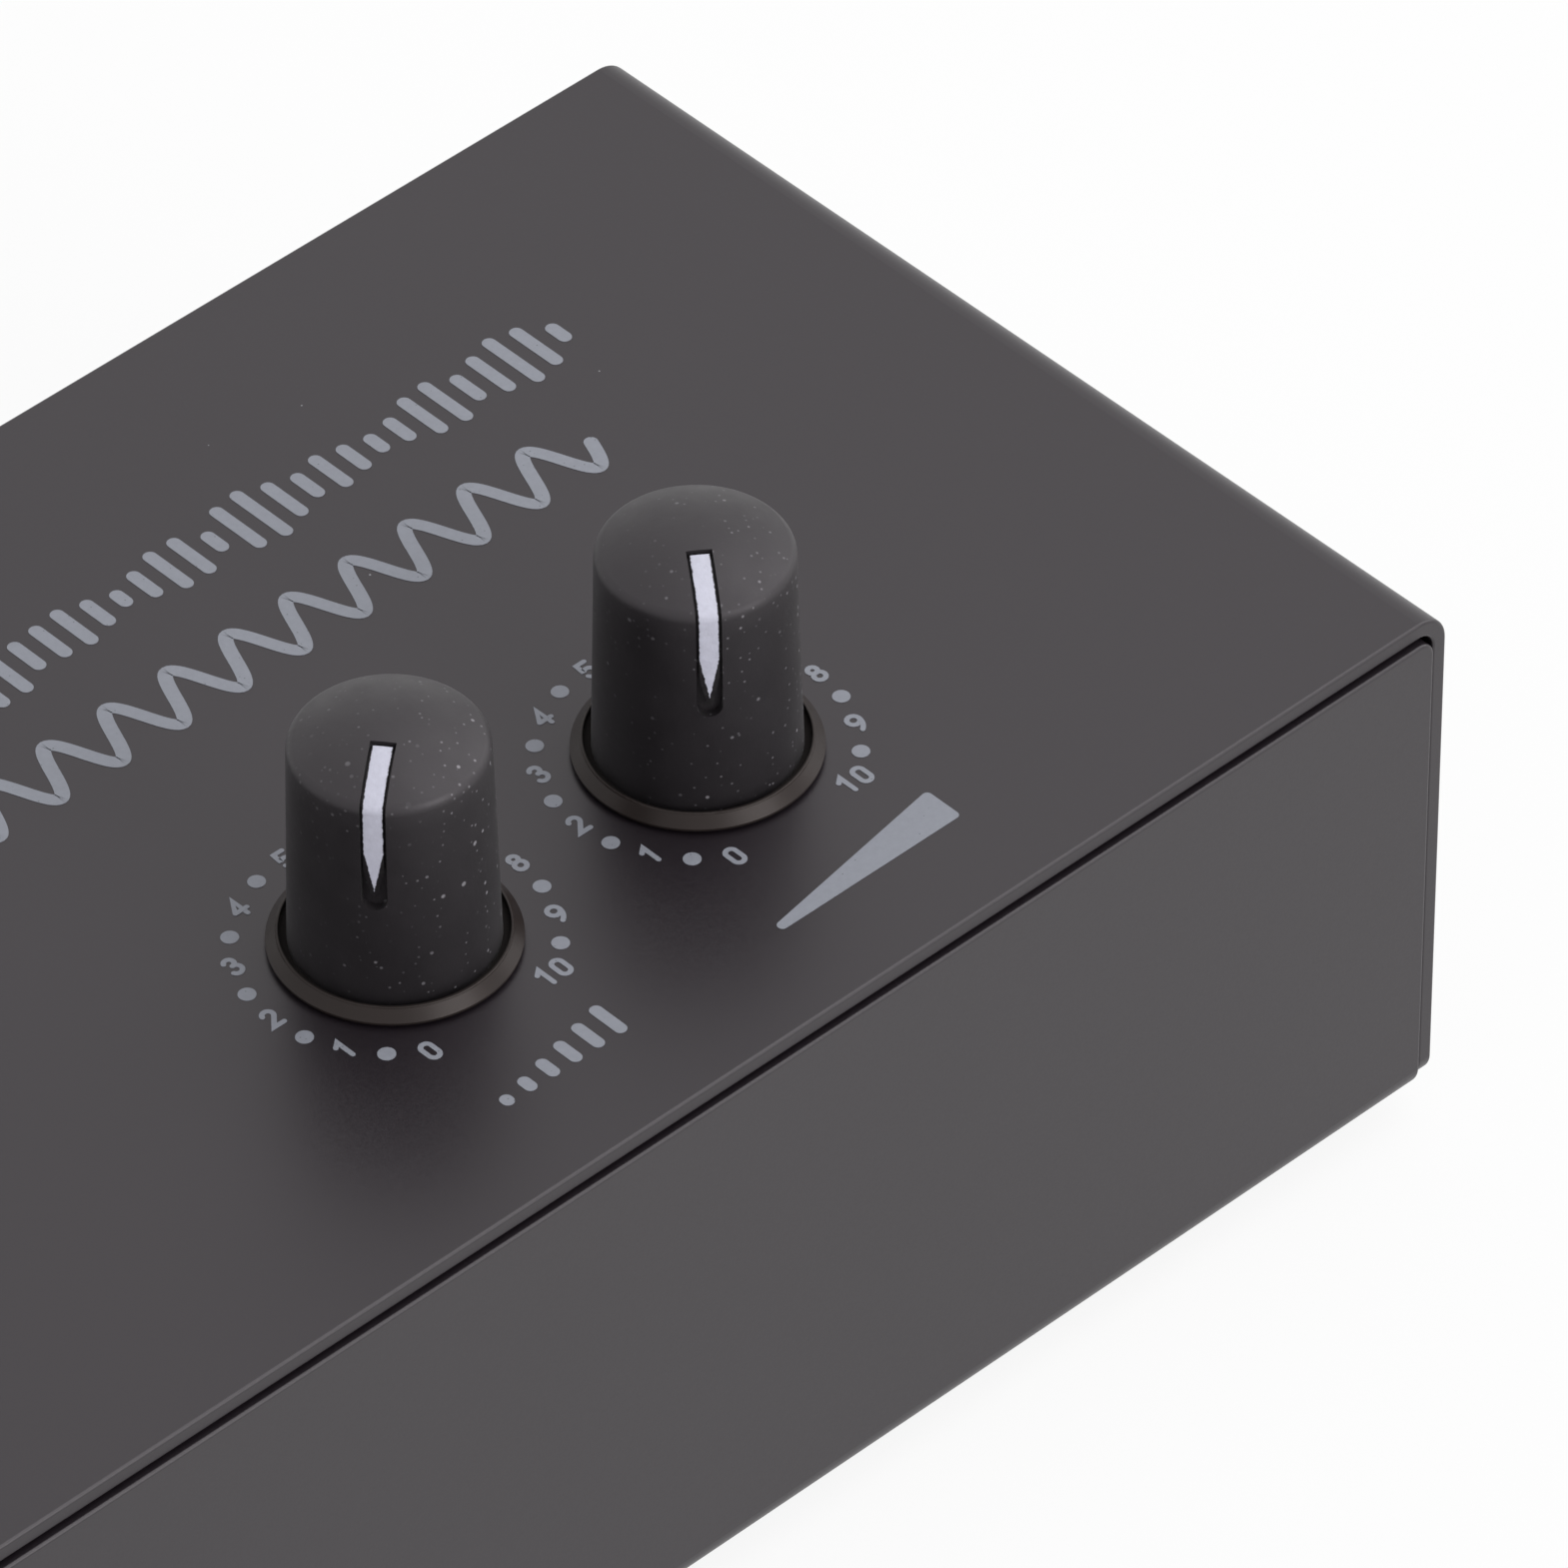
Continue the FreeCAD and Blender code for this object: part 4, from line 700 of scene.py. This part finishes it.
class PREAMP_OT_finish_knobs(bpy.types.Operator):
    """Finish the knobs' sleeves, cores and pointers"""
    bl_idname = "preamp.finish_knobs"
    bl_label = "Finish knobs"

    def execute(self, context):
        knob = settings(context, "knob")
        for name in CONTROLS:
            dress(name + "_knob_skin", rubber_finish(knob, name))
            dress(name + "_knob_core", core_finish(knob, name))
            dress(name + "_knob_pointer", pointer_finish(knob, name))
        return {"FINISHED"}


class PREAMP_OT_print_dials(bpy.types.Operator):
    """Print the two dials: numbers 0 to 10 with a dot between each pair"""
    bl_idname = "preamp.print_dials"
    bl_label = "Print dials"

    def execute(self, context):
        ink, low, high, material = mix_ink(context)
        zero = math.radians(-DIAL_HALF_TURN)
        step = math.radians(2 * DIAL_HALF_TURN / DIAL_LAST)
        for name in CONTROLS:
            axis, _ = control_axis(name)
            form = bmesh.new()
            for i in range(2 * DIAL_LAST + 1):
                angle = zero + step * i / 2
                place = on_top(axis.x + ink.ring_radius * math.sin(angle),
                               axis.y + ink.ring_radius * math.cos(angle))
                if i % 2:
                    stamp(form, disc((0, 0), ink.dot_diameter / 2), low, high, place)
                else:
                    numeral(form, str(i // 2), ink.number_height, ink.number_stroke, low, high, place)
            piece("dial_print_" + name, form, material)
        return {"FINISHED"}


class PREAMP_OT_print_title(bpy.types.Operator):
    """Print the two wide marks behind the controls: a row of bars and a wave"""
    bl_idname = "preamp.print_title"
    bl_label = "Print title marks"

    def execute(self, context):
        ink, low, high, material = mix_ink(context)
        axis, _ = control_axis("level")
        form = bmesh.new()
        left, right, base, tall = -21.0 * MM, 45.9 * MM, 32.0 * MM, 5.6 * MM
        pitch = ink.stroke * 2.0
        count = int((right - left - ink.stroke) / pitch)
        for i in range(count + 1):
            x = left + ink.stroke / 2 + (right - left - ink.stroke) * i / count
            half = (tall - ink.stroke) / 2 * self.bar_share(i)
            place = on_top(axis.x + x, axis.y + base + tall / 2)
            stamp(form, bar((0, -half), (0, half), ink.stroke), low, high, place)
        piece("title_bars", form, material)
        form = bmesh.new()
        left, right, base, tall = -15.5 * MM, 40.2 * MM, 23.0 * MM, 5.2 * MM
        periods, steps = 11, 440
        line = []
        for i in range(steps + 1):
            part = i / steps
            x = left + ink.stroke / 2 + (right - left - ink.stroke) * part
            line.append((x, (tall - ink.stroke) / 2 * math.sin(2 * math.pi * periods * part)))
        ribbon(form, line, ink.stroke, low, high, on_top(axis.x, axis.y + base + tall / 2))
        piece("title_wave", form, material)
        return {"FINISHED"}

    def bar_share(self, i):
        """A bar's length as a share of the longest: two waves that beat, and never quite nothing."""
        least, blunt = 0.16, 0.7
        swell = abs(math.sin(i * 0.83) * math.cos(i * 0.29 + 0.4))
        return least + (1.0 - least) * swell ** blunt


class PREAMP_OT_print_control_marks(bpy.types.Operator):
    """Print a mark in front of each control: rising bars and a wedge"""
    bl_idname = "preamp.print_control_marks"
    bl_label = "Print control marks"

    def execute(self, context):
        ink, low, high, material = mix_ink(context)
        base, tall = -15.5 * MM, 3.0 * MM
        axis, _ = control_axis("level")
        form = bmesh.new()
        bars, wide, first = 6, 10.0 * MM, 0.35
        stroke = ink.stroke * 0.9
        for i in range(bars):
            x = -wide / 2 + stroke / 2 + (wide - stroke) * i / (bars - 1)
            top = stroke / 2 + (tall - stroke) * (i + first) / (bars - 1 + first)
            stamp(form, bar((x, stroke / 2), (x, top), stroke), low, high, on_top(axis.x, axis.y + base))
        piece("level_mark", form, material)
        axis, _ = control_axis("volume")
        form = bmesh.new()
        wide, corner = 15.0 * MM, 0.35 * MM
        slope = math.degrees(math.atan2(tall - 2 * corner, wide - 2 * corner))
        left, right = (-wide / 2 + corner, corner), (wide / 2 - corner, corner)
        top = (wide / 2 - corner, tall - corner)
        outline = (round_end(left, corner, 90 + slope, 180 - slope) + round_end(right, corner, -90, 90)
                   + round_end(top, corner, 0, 90 + slope))
        stamp(form, outline, low, high, on_top(axis.x, axis.y + base))
        piece("volume_mark", form, material)
        return {"FINISHED"}


class PREAMP_OT_print_rear_marks(bpy.types.Operator):
    """Print plain signs over the rear fittings: in, out, earth, polarity and power"""
    bl_idname = "preamp.print_rear_marks"
    bl_label = "Print rear marks"
    PIN_RADIUS = 0.55    # the dot in the middle of the polarity sign, in millimetres

    def execute(self, context):
        ink, low, high, material = mix_ink(context)
        sign_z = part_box("input_left_shell")[1].z + 4.2 * MM
        signs = []
        for pair, way in (("input", -1), ("output", 1)):
            x = (middle(pair + "_left_shell").x + middle(pair + "_right_shell").x) / 2
            signs.append((x, self.arrow_sign(way)))
        signs.append((middle("ground_stud").x, self.earth_sign()))
        signs.append((middle("power_jack_pin").x, self.polarity_sign()))
        signs.append((middle("power_button").x, self.power_sign()))
        form = bmesh.new()
        for x, strokes in signs:
            for layer, line in strokes:
                scaled = [(across * MM, up * MM) for across, up in line]
                ribbon(form, scaled, ink.fine_stroke, low, high + layer * STROKE_STEP, on_rear(x, sign_z))
        pin = on_rear(middle("power_jack_pin").x, sign_z)
        stamp(form, disc((0, 0), self.PIN_RADIUS * MM), low, high, pin)
        piece("rear_marks", form, material)
        return {"FINISHED"}

    # A sign is a list of strokes in millimetres from its middle, each with its layer: 1 where it lies
    # across a stroke of layer 0

    def arrow_sign(self, way):
        """An arrow that points up (1) or down (-1), with a short line low on each side."""
        half, barb, inner, outer = 2.0, 0.9, 2.6, 5.6
        shaft = [(0, -way * half), (0, way * half)]
        head = [(-barb, way * (half - barb)), (0, way * half), (barb, way * (half - barb))]
        lines = [(0, [(side * inner, -half), (side * outer, -half)]) for side in (-1, 1)]
        return [(0, shaft), (1, head), *lines]

    def earth_sign(self):
        """A stem over three lines that grow shorter."""
        stem, drop = 1.8, 0.9
        lines = [(0, [(-half, -drop * i), (half, -drop * i)]) for i, half in enumerate((1.9, 1.2, 0.5))]
        return [(1, [(0, stem), (0, 0)]), *lines]

    def polarity_sign(self):
        """A plug's open ring, a lead from its pin to a plus, and one from the ring to a minus."""
        ring, lead, sign, half = 1.5, 3.2, 4.7, 0.7
        open_ring = (0, round_end((0, 0), ring, 40, 280, 30))
        leads = [(1, [(self.PIN_RADIUS, 0), (lead, 0)]), (1, [(-ring, 0), (-lead, 0)])]
        flat = [(0, [(x - half, 0), (x + half, 0)]) for x in (-sign, sign)]
        return [open_ring, *leads, *flat, (1, [(sign, -half), (sign, half)])]

    def power_sign(self):
        """A ring that is open at the top, with a line in the opening."""
        return [(0, round_end((0, 0), 1.7, 120, 300, 30)), (0, [(0, 0.3), (0, 2.1)])]


class PREAMP_OT_cut_earth_thread(bpy.types.Operator):
    """Build the earth post with its thread"""
    bl_idname = "preamp.cut_earth_thread"
    bl_label = "Cut earth post thread"

    def execute(self, context):
        fitting = settings(context, "fitting")
        low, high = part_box("ground_stud")
        centre = (low + high) / 2
        radius = (high.x - low.x) / 2
        around, per_pitch = 40, 8
        flank, end_chamfer = 2.6, 0.45 * MM
        rows = int((high.y - low.y) / fitting.thread_pitch * per_pitch)
        form = bmesh.new()
        rings = []
        for j in range(rows + 1):
            y = low.y + (high.y - low.y) * j / rows
            loop = []
            for i in range(around):
                angle = 2 * math.pi * i / around
                phase = ((y - low.y) / fitting.thread_pitch - i / around) % 1.0
                groove = min(1.0, abs(phase - 0.5) * flank)
                reach = radius - fitting.thread_depth * (1.0 - groove)
                to_end = min(y - low.y, high.y - y)
                reach = min(reach, radius - end_chamfer + to_end)
                loop.append(form.verts.new((centre.x + reach * math.cos(angle), y,
                                            centre.z + reach * math.sin(angle))))
            rings.append(loop)
        for a, b in zip(rings, rings[1:]):
            for i in range(around):
                k = (i + 1) % around
                form.faces.new((a[i], a[k], b[k], b[i]))
        form.faces.new(rings[0])
        form.faces.new(list(reversed(rings[-1])))
        steel = metal_finish("zinc_plated_steel", (0.62, 0.62, 0.60), 0.28)
        post = piece("earth_post_thread", form, steel)
        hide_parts("ground_stud")
        dress(("ground_inner_nut", "ground_washer"), steel)
        dress("ground_thumb_nut", metal_finish("bright_nickel", (0.70, 0.68, 0.63), 0.20))
        ease_edges(("ground_washer", "ground_inner_nut", "ground_thumb_nut"), fitting.edge)
        return {"FINISHED"}


class PREAMP_OT_finish_jacks(bpy.types.Operator):
    """Finish the phono jacks and the low-voltage inlet"""
    bl_idname = "preamp.finish_jacks"
    bl_label = "Finish jacks"

    def execute(self, context):
        fitting = settings(context, "fitting")
        nickel = metal_finish("nickel_plating", (0.72, 0.70, 0.66), 0.17)
        brass = metal_finish("contact_brass", (0.78, 0.58, 0.28), 0.25)
        white = moulded_finish("white_insulator", (0.72, 0.71, 0.68), 0.35)
        red = moulded_finish("red_insulator", (0.42, 0.014, 0.012), 0.32)
        black = moulded_finish("black_moulding", (0.016, 0.016, 0.017), 0.42)
        for name in JACKS:
            dress(name + "_shell", nickel)
            dress(name + "_contact", brass)
            dress(name + "_insert", white if name.endswith("left") else red)
            ease_edges((name + "_shell", name + "_contact"), fitting.edge * 0.8)
            ease_edges(name + "_insert", fitting.edge)
        dress(("input_jack_housing", "output_jack_housing", "power_jack_housing"), black)
        dress("power_jack_pin", nickel)
        ease_edges("power_jack_housing", fitting.edge * 1.2)
        ease_edges("power_jack_pin", fitting.edge * 1.5)
        return {"FINISHED"}


class PREAMP_OT_finish_hardware(bpy.types.Operator):
    """Finish the cover screws, the feet, the push button and the switch"""
    bl_idname = "preamp.finish_hardware"
    bl_label = "Finish hardware"

    def execute(self, context):
        fitting = settings(context, "fitting")
        dress("cover_screws", metal_finish("blackened_screws", (0.055, 0.052, 0.055), 0.34))
        feet = ["foot_" + end + side for end in ("front_", "rear_") for side in ("left", "right")]
        dress(feet, moulded_finish("foot_rubber", (0.018, 0.018, 0.018), 0.70, 0.3, 0.012))
        dress("power_button", moulded_finish("button_cap", (0.020, 0.019, 0.020), 0.34))
        dress("power_switch", moulded_finish("switch_body", (0.03, 0.03, 0.032), 0.45))
        ease_edges("cover_screws", fitting.edge * 2.0)
        ease_edges([*feet, "power_button"], fitting.edge * 3.0)
        return {"FINISHED"}


class PREAMP_OT_finish_indicator(bpy.types.Operator):
    """Finish the pilot light and its pipe"""
    bl_idname = "preamp.finish_indicator"
    bl_label = "Finish indicator"

    def execute(self, context):
        dress("led_pipe", clear_finish("clear_pipe", (0.80, 0.86, 0.88)))
        dress("led", clear_finish("blue_lens", (0.10, 0.28, 0.80), 0.10))
        ease_edges("led_pipe", settings(context, "fitting").edge * 2.0)
        return {"FINISHED"}


class PREAMP_OT_finish_inside(bpy.types.Operator):
    """Finish the potentiometers, boards and parts inside the case"""
    bl_idname = "preamp.finish_inside"
    bl_label = "Finish inside"

    def execute(self, context):
        steel = metal_finish("drawn_steel", (0.58, 0.58, 0.57), 0.26, stretch=(1.0, 1.0, 6.0))
        phenolic = moulded_finish("phenolic_paper", (0.20, 0.085, 0.03), 0.55, 0.5, 0.01)
        for name in CONTROLS:
            dress([name + "_pot_" + part for part in ("shaft", "bush", "can", "nut")], steel)
            dress([name + "_pot_" + part for part in ("wiper", "wafer")], phenolic)
        dress(("main_board", "control_board"), board_finish())
        dress("board_standoffs", metal_finish("pillar_brass", (0.75, 0.55, 0.26), 0.27))
        dress("board_screws", steel)
        dress("board_link", moulded_finish("pin_row", (0.018, 0.018, 0.018), 0.4))
        dress("amplifier_chip", moulded_finish("chip_resin", (0.022, 0.022, 0.024), 0.55, 0.08, 0.004))
        dress("voltage_regulator", moulded_finish("regulator_resin", (0.024, 0.023, 0.022), 0.5))
        dress("electrolytic_capacitors", sleeve_finish())
        dress("film_capacitors", moulded_finish("red_dipped_film", (0.36, 0.035, 0.02), 0.28, 0.6, 0.01))
        lacquer, black, brown = (0.22, 0.40, 0.52), (0.03, 0.03, 0.03), (0.42, 0.12, 0.03)
        dress("resistors", striped_finish("banded_lacquer", lacquer, black, brown))
        return {"FINISHED"}


# Each lamp's width, depth and place, in metres, and the point that all of them are aimed at
LAMPS = {"overhead": (1.0, 0.8, (0.50, -0.20, 1.0)), "front": (0.8, 0.7, (0.15, -1.15, 0.56)),
         "right": (0.8, 0.8, (1.15, -0.25, 0.60)), "back": (0.8, 0.8, (0.90, 1.10, 0.95))}
LAMP_AIM = Vector((0.0, 0.0, 0.02))
FLOOR_SEEN = 0.88    # how far the floor is pure white to the camera, and lit paper for the rest
FLOOR_MIRRORED = 0.72    # the same in reflections


def hang_lamp(name, watts, width, depth, place):
    """A soft rectangular lamp that the camera doesn't see."""
    light = bpy.data.lights.new(name, "AREA")
    light.shape = "RECTANGLE"
    light.size = width
    light.size_y = depth
    light.energy = watts
    thing = bpy.data.objects.new(name, light)
    thing.location = place
    thing.rotation_mode = "QUATERNION"
    thing.rotation_quaternion = (LAMP_AIM - Vector(place)).to_track_quat("-Z", "Y")
    thing.visible_camera = False
    bpy.context.scene.collection.objects.link(thing)


def seen_by(tree, rays):
    """A socket that is 1 for these kinds of ray: camera, glossy or transmission."""
    path = tree.nodes.new("ShaderNodeLightPath")
    total = None
    for kind in rays:
        ray = path.outputs["Is %s Ray" % kind]
        total = ray if total is None else arithmetic(tree, "MAXIMUM", total, ray)
    return total


class PREAMP_OT_set_studio(bpy.types.Operator):
    """Set the floor, the lamps, the white surroundings and the camera"""
    bl_idname = "preamp.set_studio"
    bl_label = "Set studio"

    def execute(self, context):
        studio = settings(context, "studio")
        self.lay_floor(studio)
        self.light_world(context.scene, studio)
        for name, (width, depth, place) in LAMPS.items():
            hang_lamp(name + "_lamp", getattr(studio, name), width, depth, place)
        self.place_camera(context.scene, studio)
        context.scene.view_settings.view_transform = "Standard"
        return {"FINISHED"}

    def lay_floor(self, studio):
        """White floor that keeps the object's shadow where the camera sees it."""
        form = bmesh.new()
        bmesh.ops.create_grid(form, x_segments=1, y_segments=1, size=studio.floor_width / 2)
        paper = Finish("floor_paper", studio.floor, 0.9, Specular_IOR_Level=0.0)
        tree = paper.tree
        glow = tree.nodes.new("ShaderNodeEmission")
        seen = arithmetic(tree, "MULTIPLY", seen_by(tree, ("Camera", "Transmission")), FLOOR_SEEN)
        white = arithmetic(tree, "MULTIPLY_ADD", seen_by(tree, ("Glossy",)), FLOOR_MIRRORED, seen)
        blend = tree.nodes.new("ShaderNodeMixShader")
        paper.link(white, blend.inputs["Fac"])
        paper.link(paper.shader.outputs["BSDF"], blend.inputs[1])
        paper.link(glow.outputs["Emission"], blend.inputs[2])
        paper.link(blend.outputs["Shader"], tree.nodes["Material Output"].inputs["Surface"])
        floor = place_mesh("studio_floor", form, paper.material)

    def light_world(self, scene, studio):
        """White to the camera and to reflections, softer as light on the object."""
        world = bpy.data.worlds.new("white_studio")
        scene.world = world
        world.use_nodes = True
        tree = world.node_tree
        back = tree.nodes["Background"]
        back.inputs["Color"].default_value = (1.0, 1.0, 1.0, 1.0)
        strength = tree.nodes.new("ShaderNodeMapRange")
        strength.inputs["To Min"].default_value = studio.ambient
        tree.links.new(seen_by(tree, ("Camera", "Transmission")), strength.inputs["Value"])
        total = arithmetic(tree, "MULTIPLY_ADD", seen_by(tree, ("Glossy",)), studio.mirrored - studio.ambient,
                           strength.outputs["Result"])
        tree.links.new(total, back.inputs["Strength"])

    def place_camera(self, scene, studio):
        """The photograph's view: high, from the front left, through a long lens."""
        camera = bpy.data.cameras.new("view_camera")
        camera.lens = studio.lens
        camera.sensor_width = 36.0
        camera.clip_start = 0.01
        camera.clip_end = 50.0
        thing = bpy.data.objects.new("view_camera", camera)
        thing.matrix_world = camera_place()
        scene.collection.objects.link(thing)
        scene.camera = thing


# The camera stands here from the level control's axis, and looks this way, rolled a little
CAMERA_REACH = Vector((-405.73, -468.82, 575.35)) * MM
CAMERA_LOOK = Vector((0.50527453, 0.54090658, -0.672397))
CAMERA_RIGHT = Vector((0.72776126, -0.6858136, -0.00482135))


def camera_place():
    """The camera's matrix, made square from its look and right directions."""
    look = CAMERA_LOOK.normalized()
    right = (CAMERA_RIGHT - look * CAMERA_RIGHT.dot(look)).normalized()
    up = right.cross(look)
    turn = Matrix((right, up, -look)).transposed().to_4x4()
    return Matrix.Translation(control_axis("level")[0] + CAMERA_REACH) @ turn


class PREAMP_PT_panel(bpy.types.Panel):
    """Lists the steps and their settings"""
    bl_idname = "PREAMP_PT_panel"
    bl_label = "Phono preamp"
    bl_space_type = "VIEW_3D"
    bl_region_type = "UI"
    bl_category = "Preamp"

    def draw(self, context):
        for step in STEPS:
            self.layout.operator(step.bl_idname)
        for group, kind in GROUPS.items():
            box = self.layout.box()
            box.label(text=group.capitalize())
            for name in kind.__annotations__:
                box.prop(settings(context, group), name)


STEPS = (
    PREAMP_OT_set_studio,
    PREAMP_OT_paint_case,
    PREAMP_OT_finish_knobs,
    PREAMP_OT_print_dials,
    PREAMP_OT_print_title,
    PREAMP_OT_print_control_marks,
    PREAMP_OT_print_rear_marks,
    PREAMP_OT_cut_earth_thread,
    PREAMP_OT_finish_jacks,
    PREAMP_OT_finish_hardware,
    PREAMP_OT_finish_indicator,
    PREAMP_OT_finish_inside,
)


CLASSES = (*GROUPS.values(), *STEPS, PREAMP_PT_panel)


def register():
    for kind in CLASSES:
        bpy.utils.register_class(kind)
    for group, kind in GROUPS.items():
        setattr(bpy.types.Scene, "preamp_" + group, PointerProperty(type=kind))


def unregister():
    for group in GROUPS:
        delattr(bpy.types.Scene, "preamp_" + group)
    for kind in reversed(CLASSES):
        bpy.utils.unregister_class(kind)


def main():
    register()
    for step in STEPS:
        group, name = step.bl_idname.split(".")
        getattr(getattr(bpy.ops, group), name)()
    bpy.context.view_layer.update()


if __name__ == "__main__":
    main()
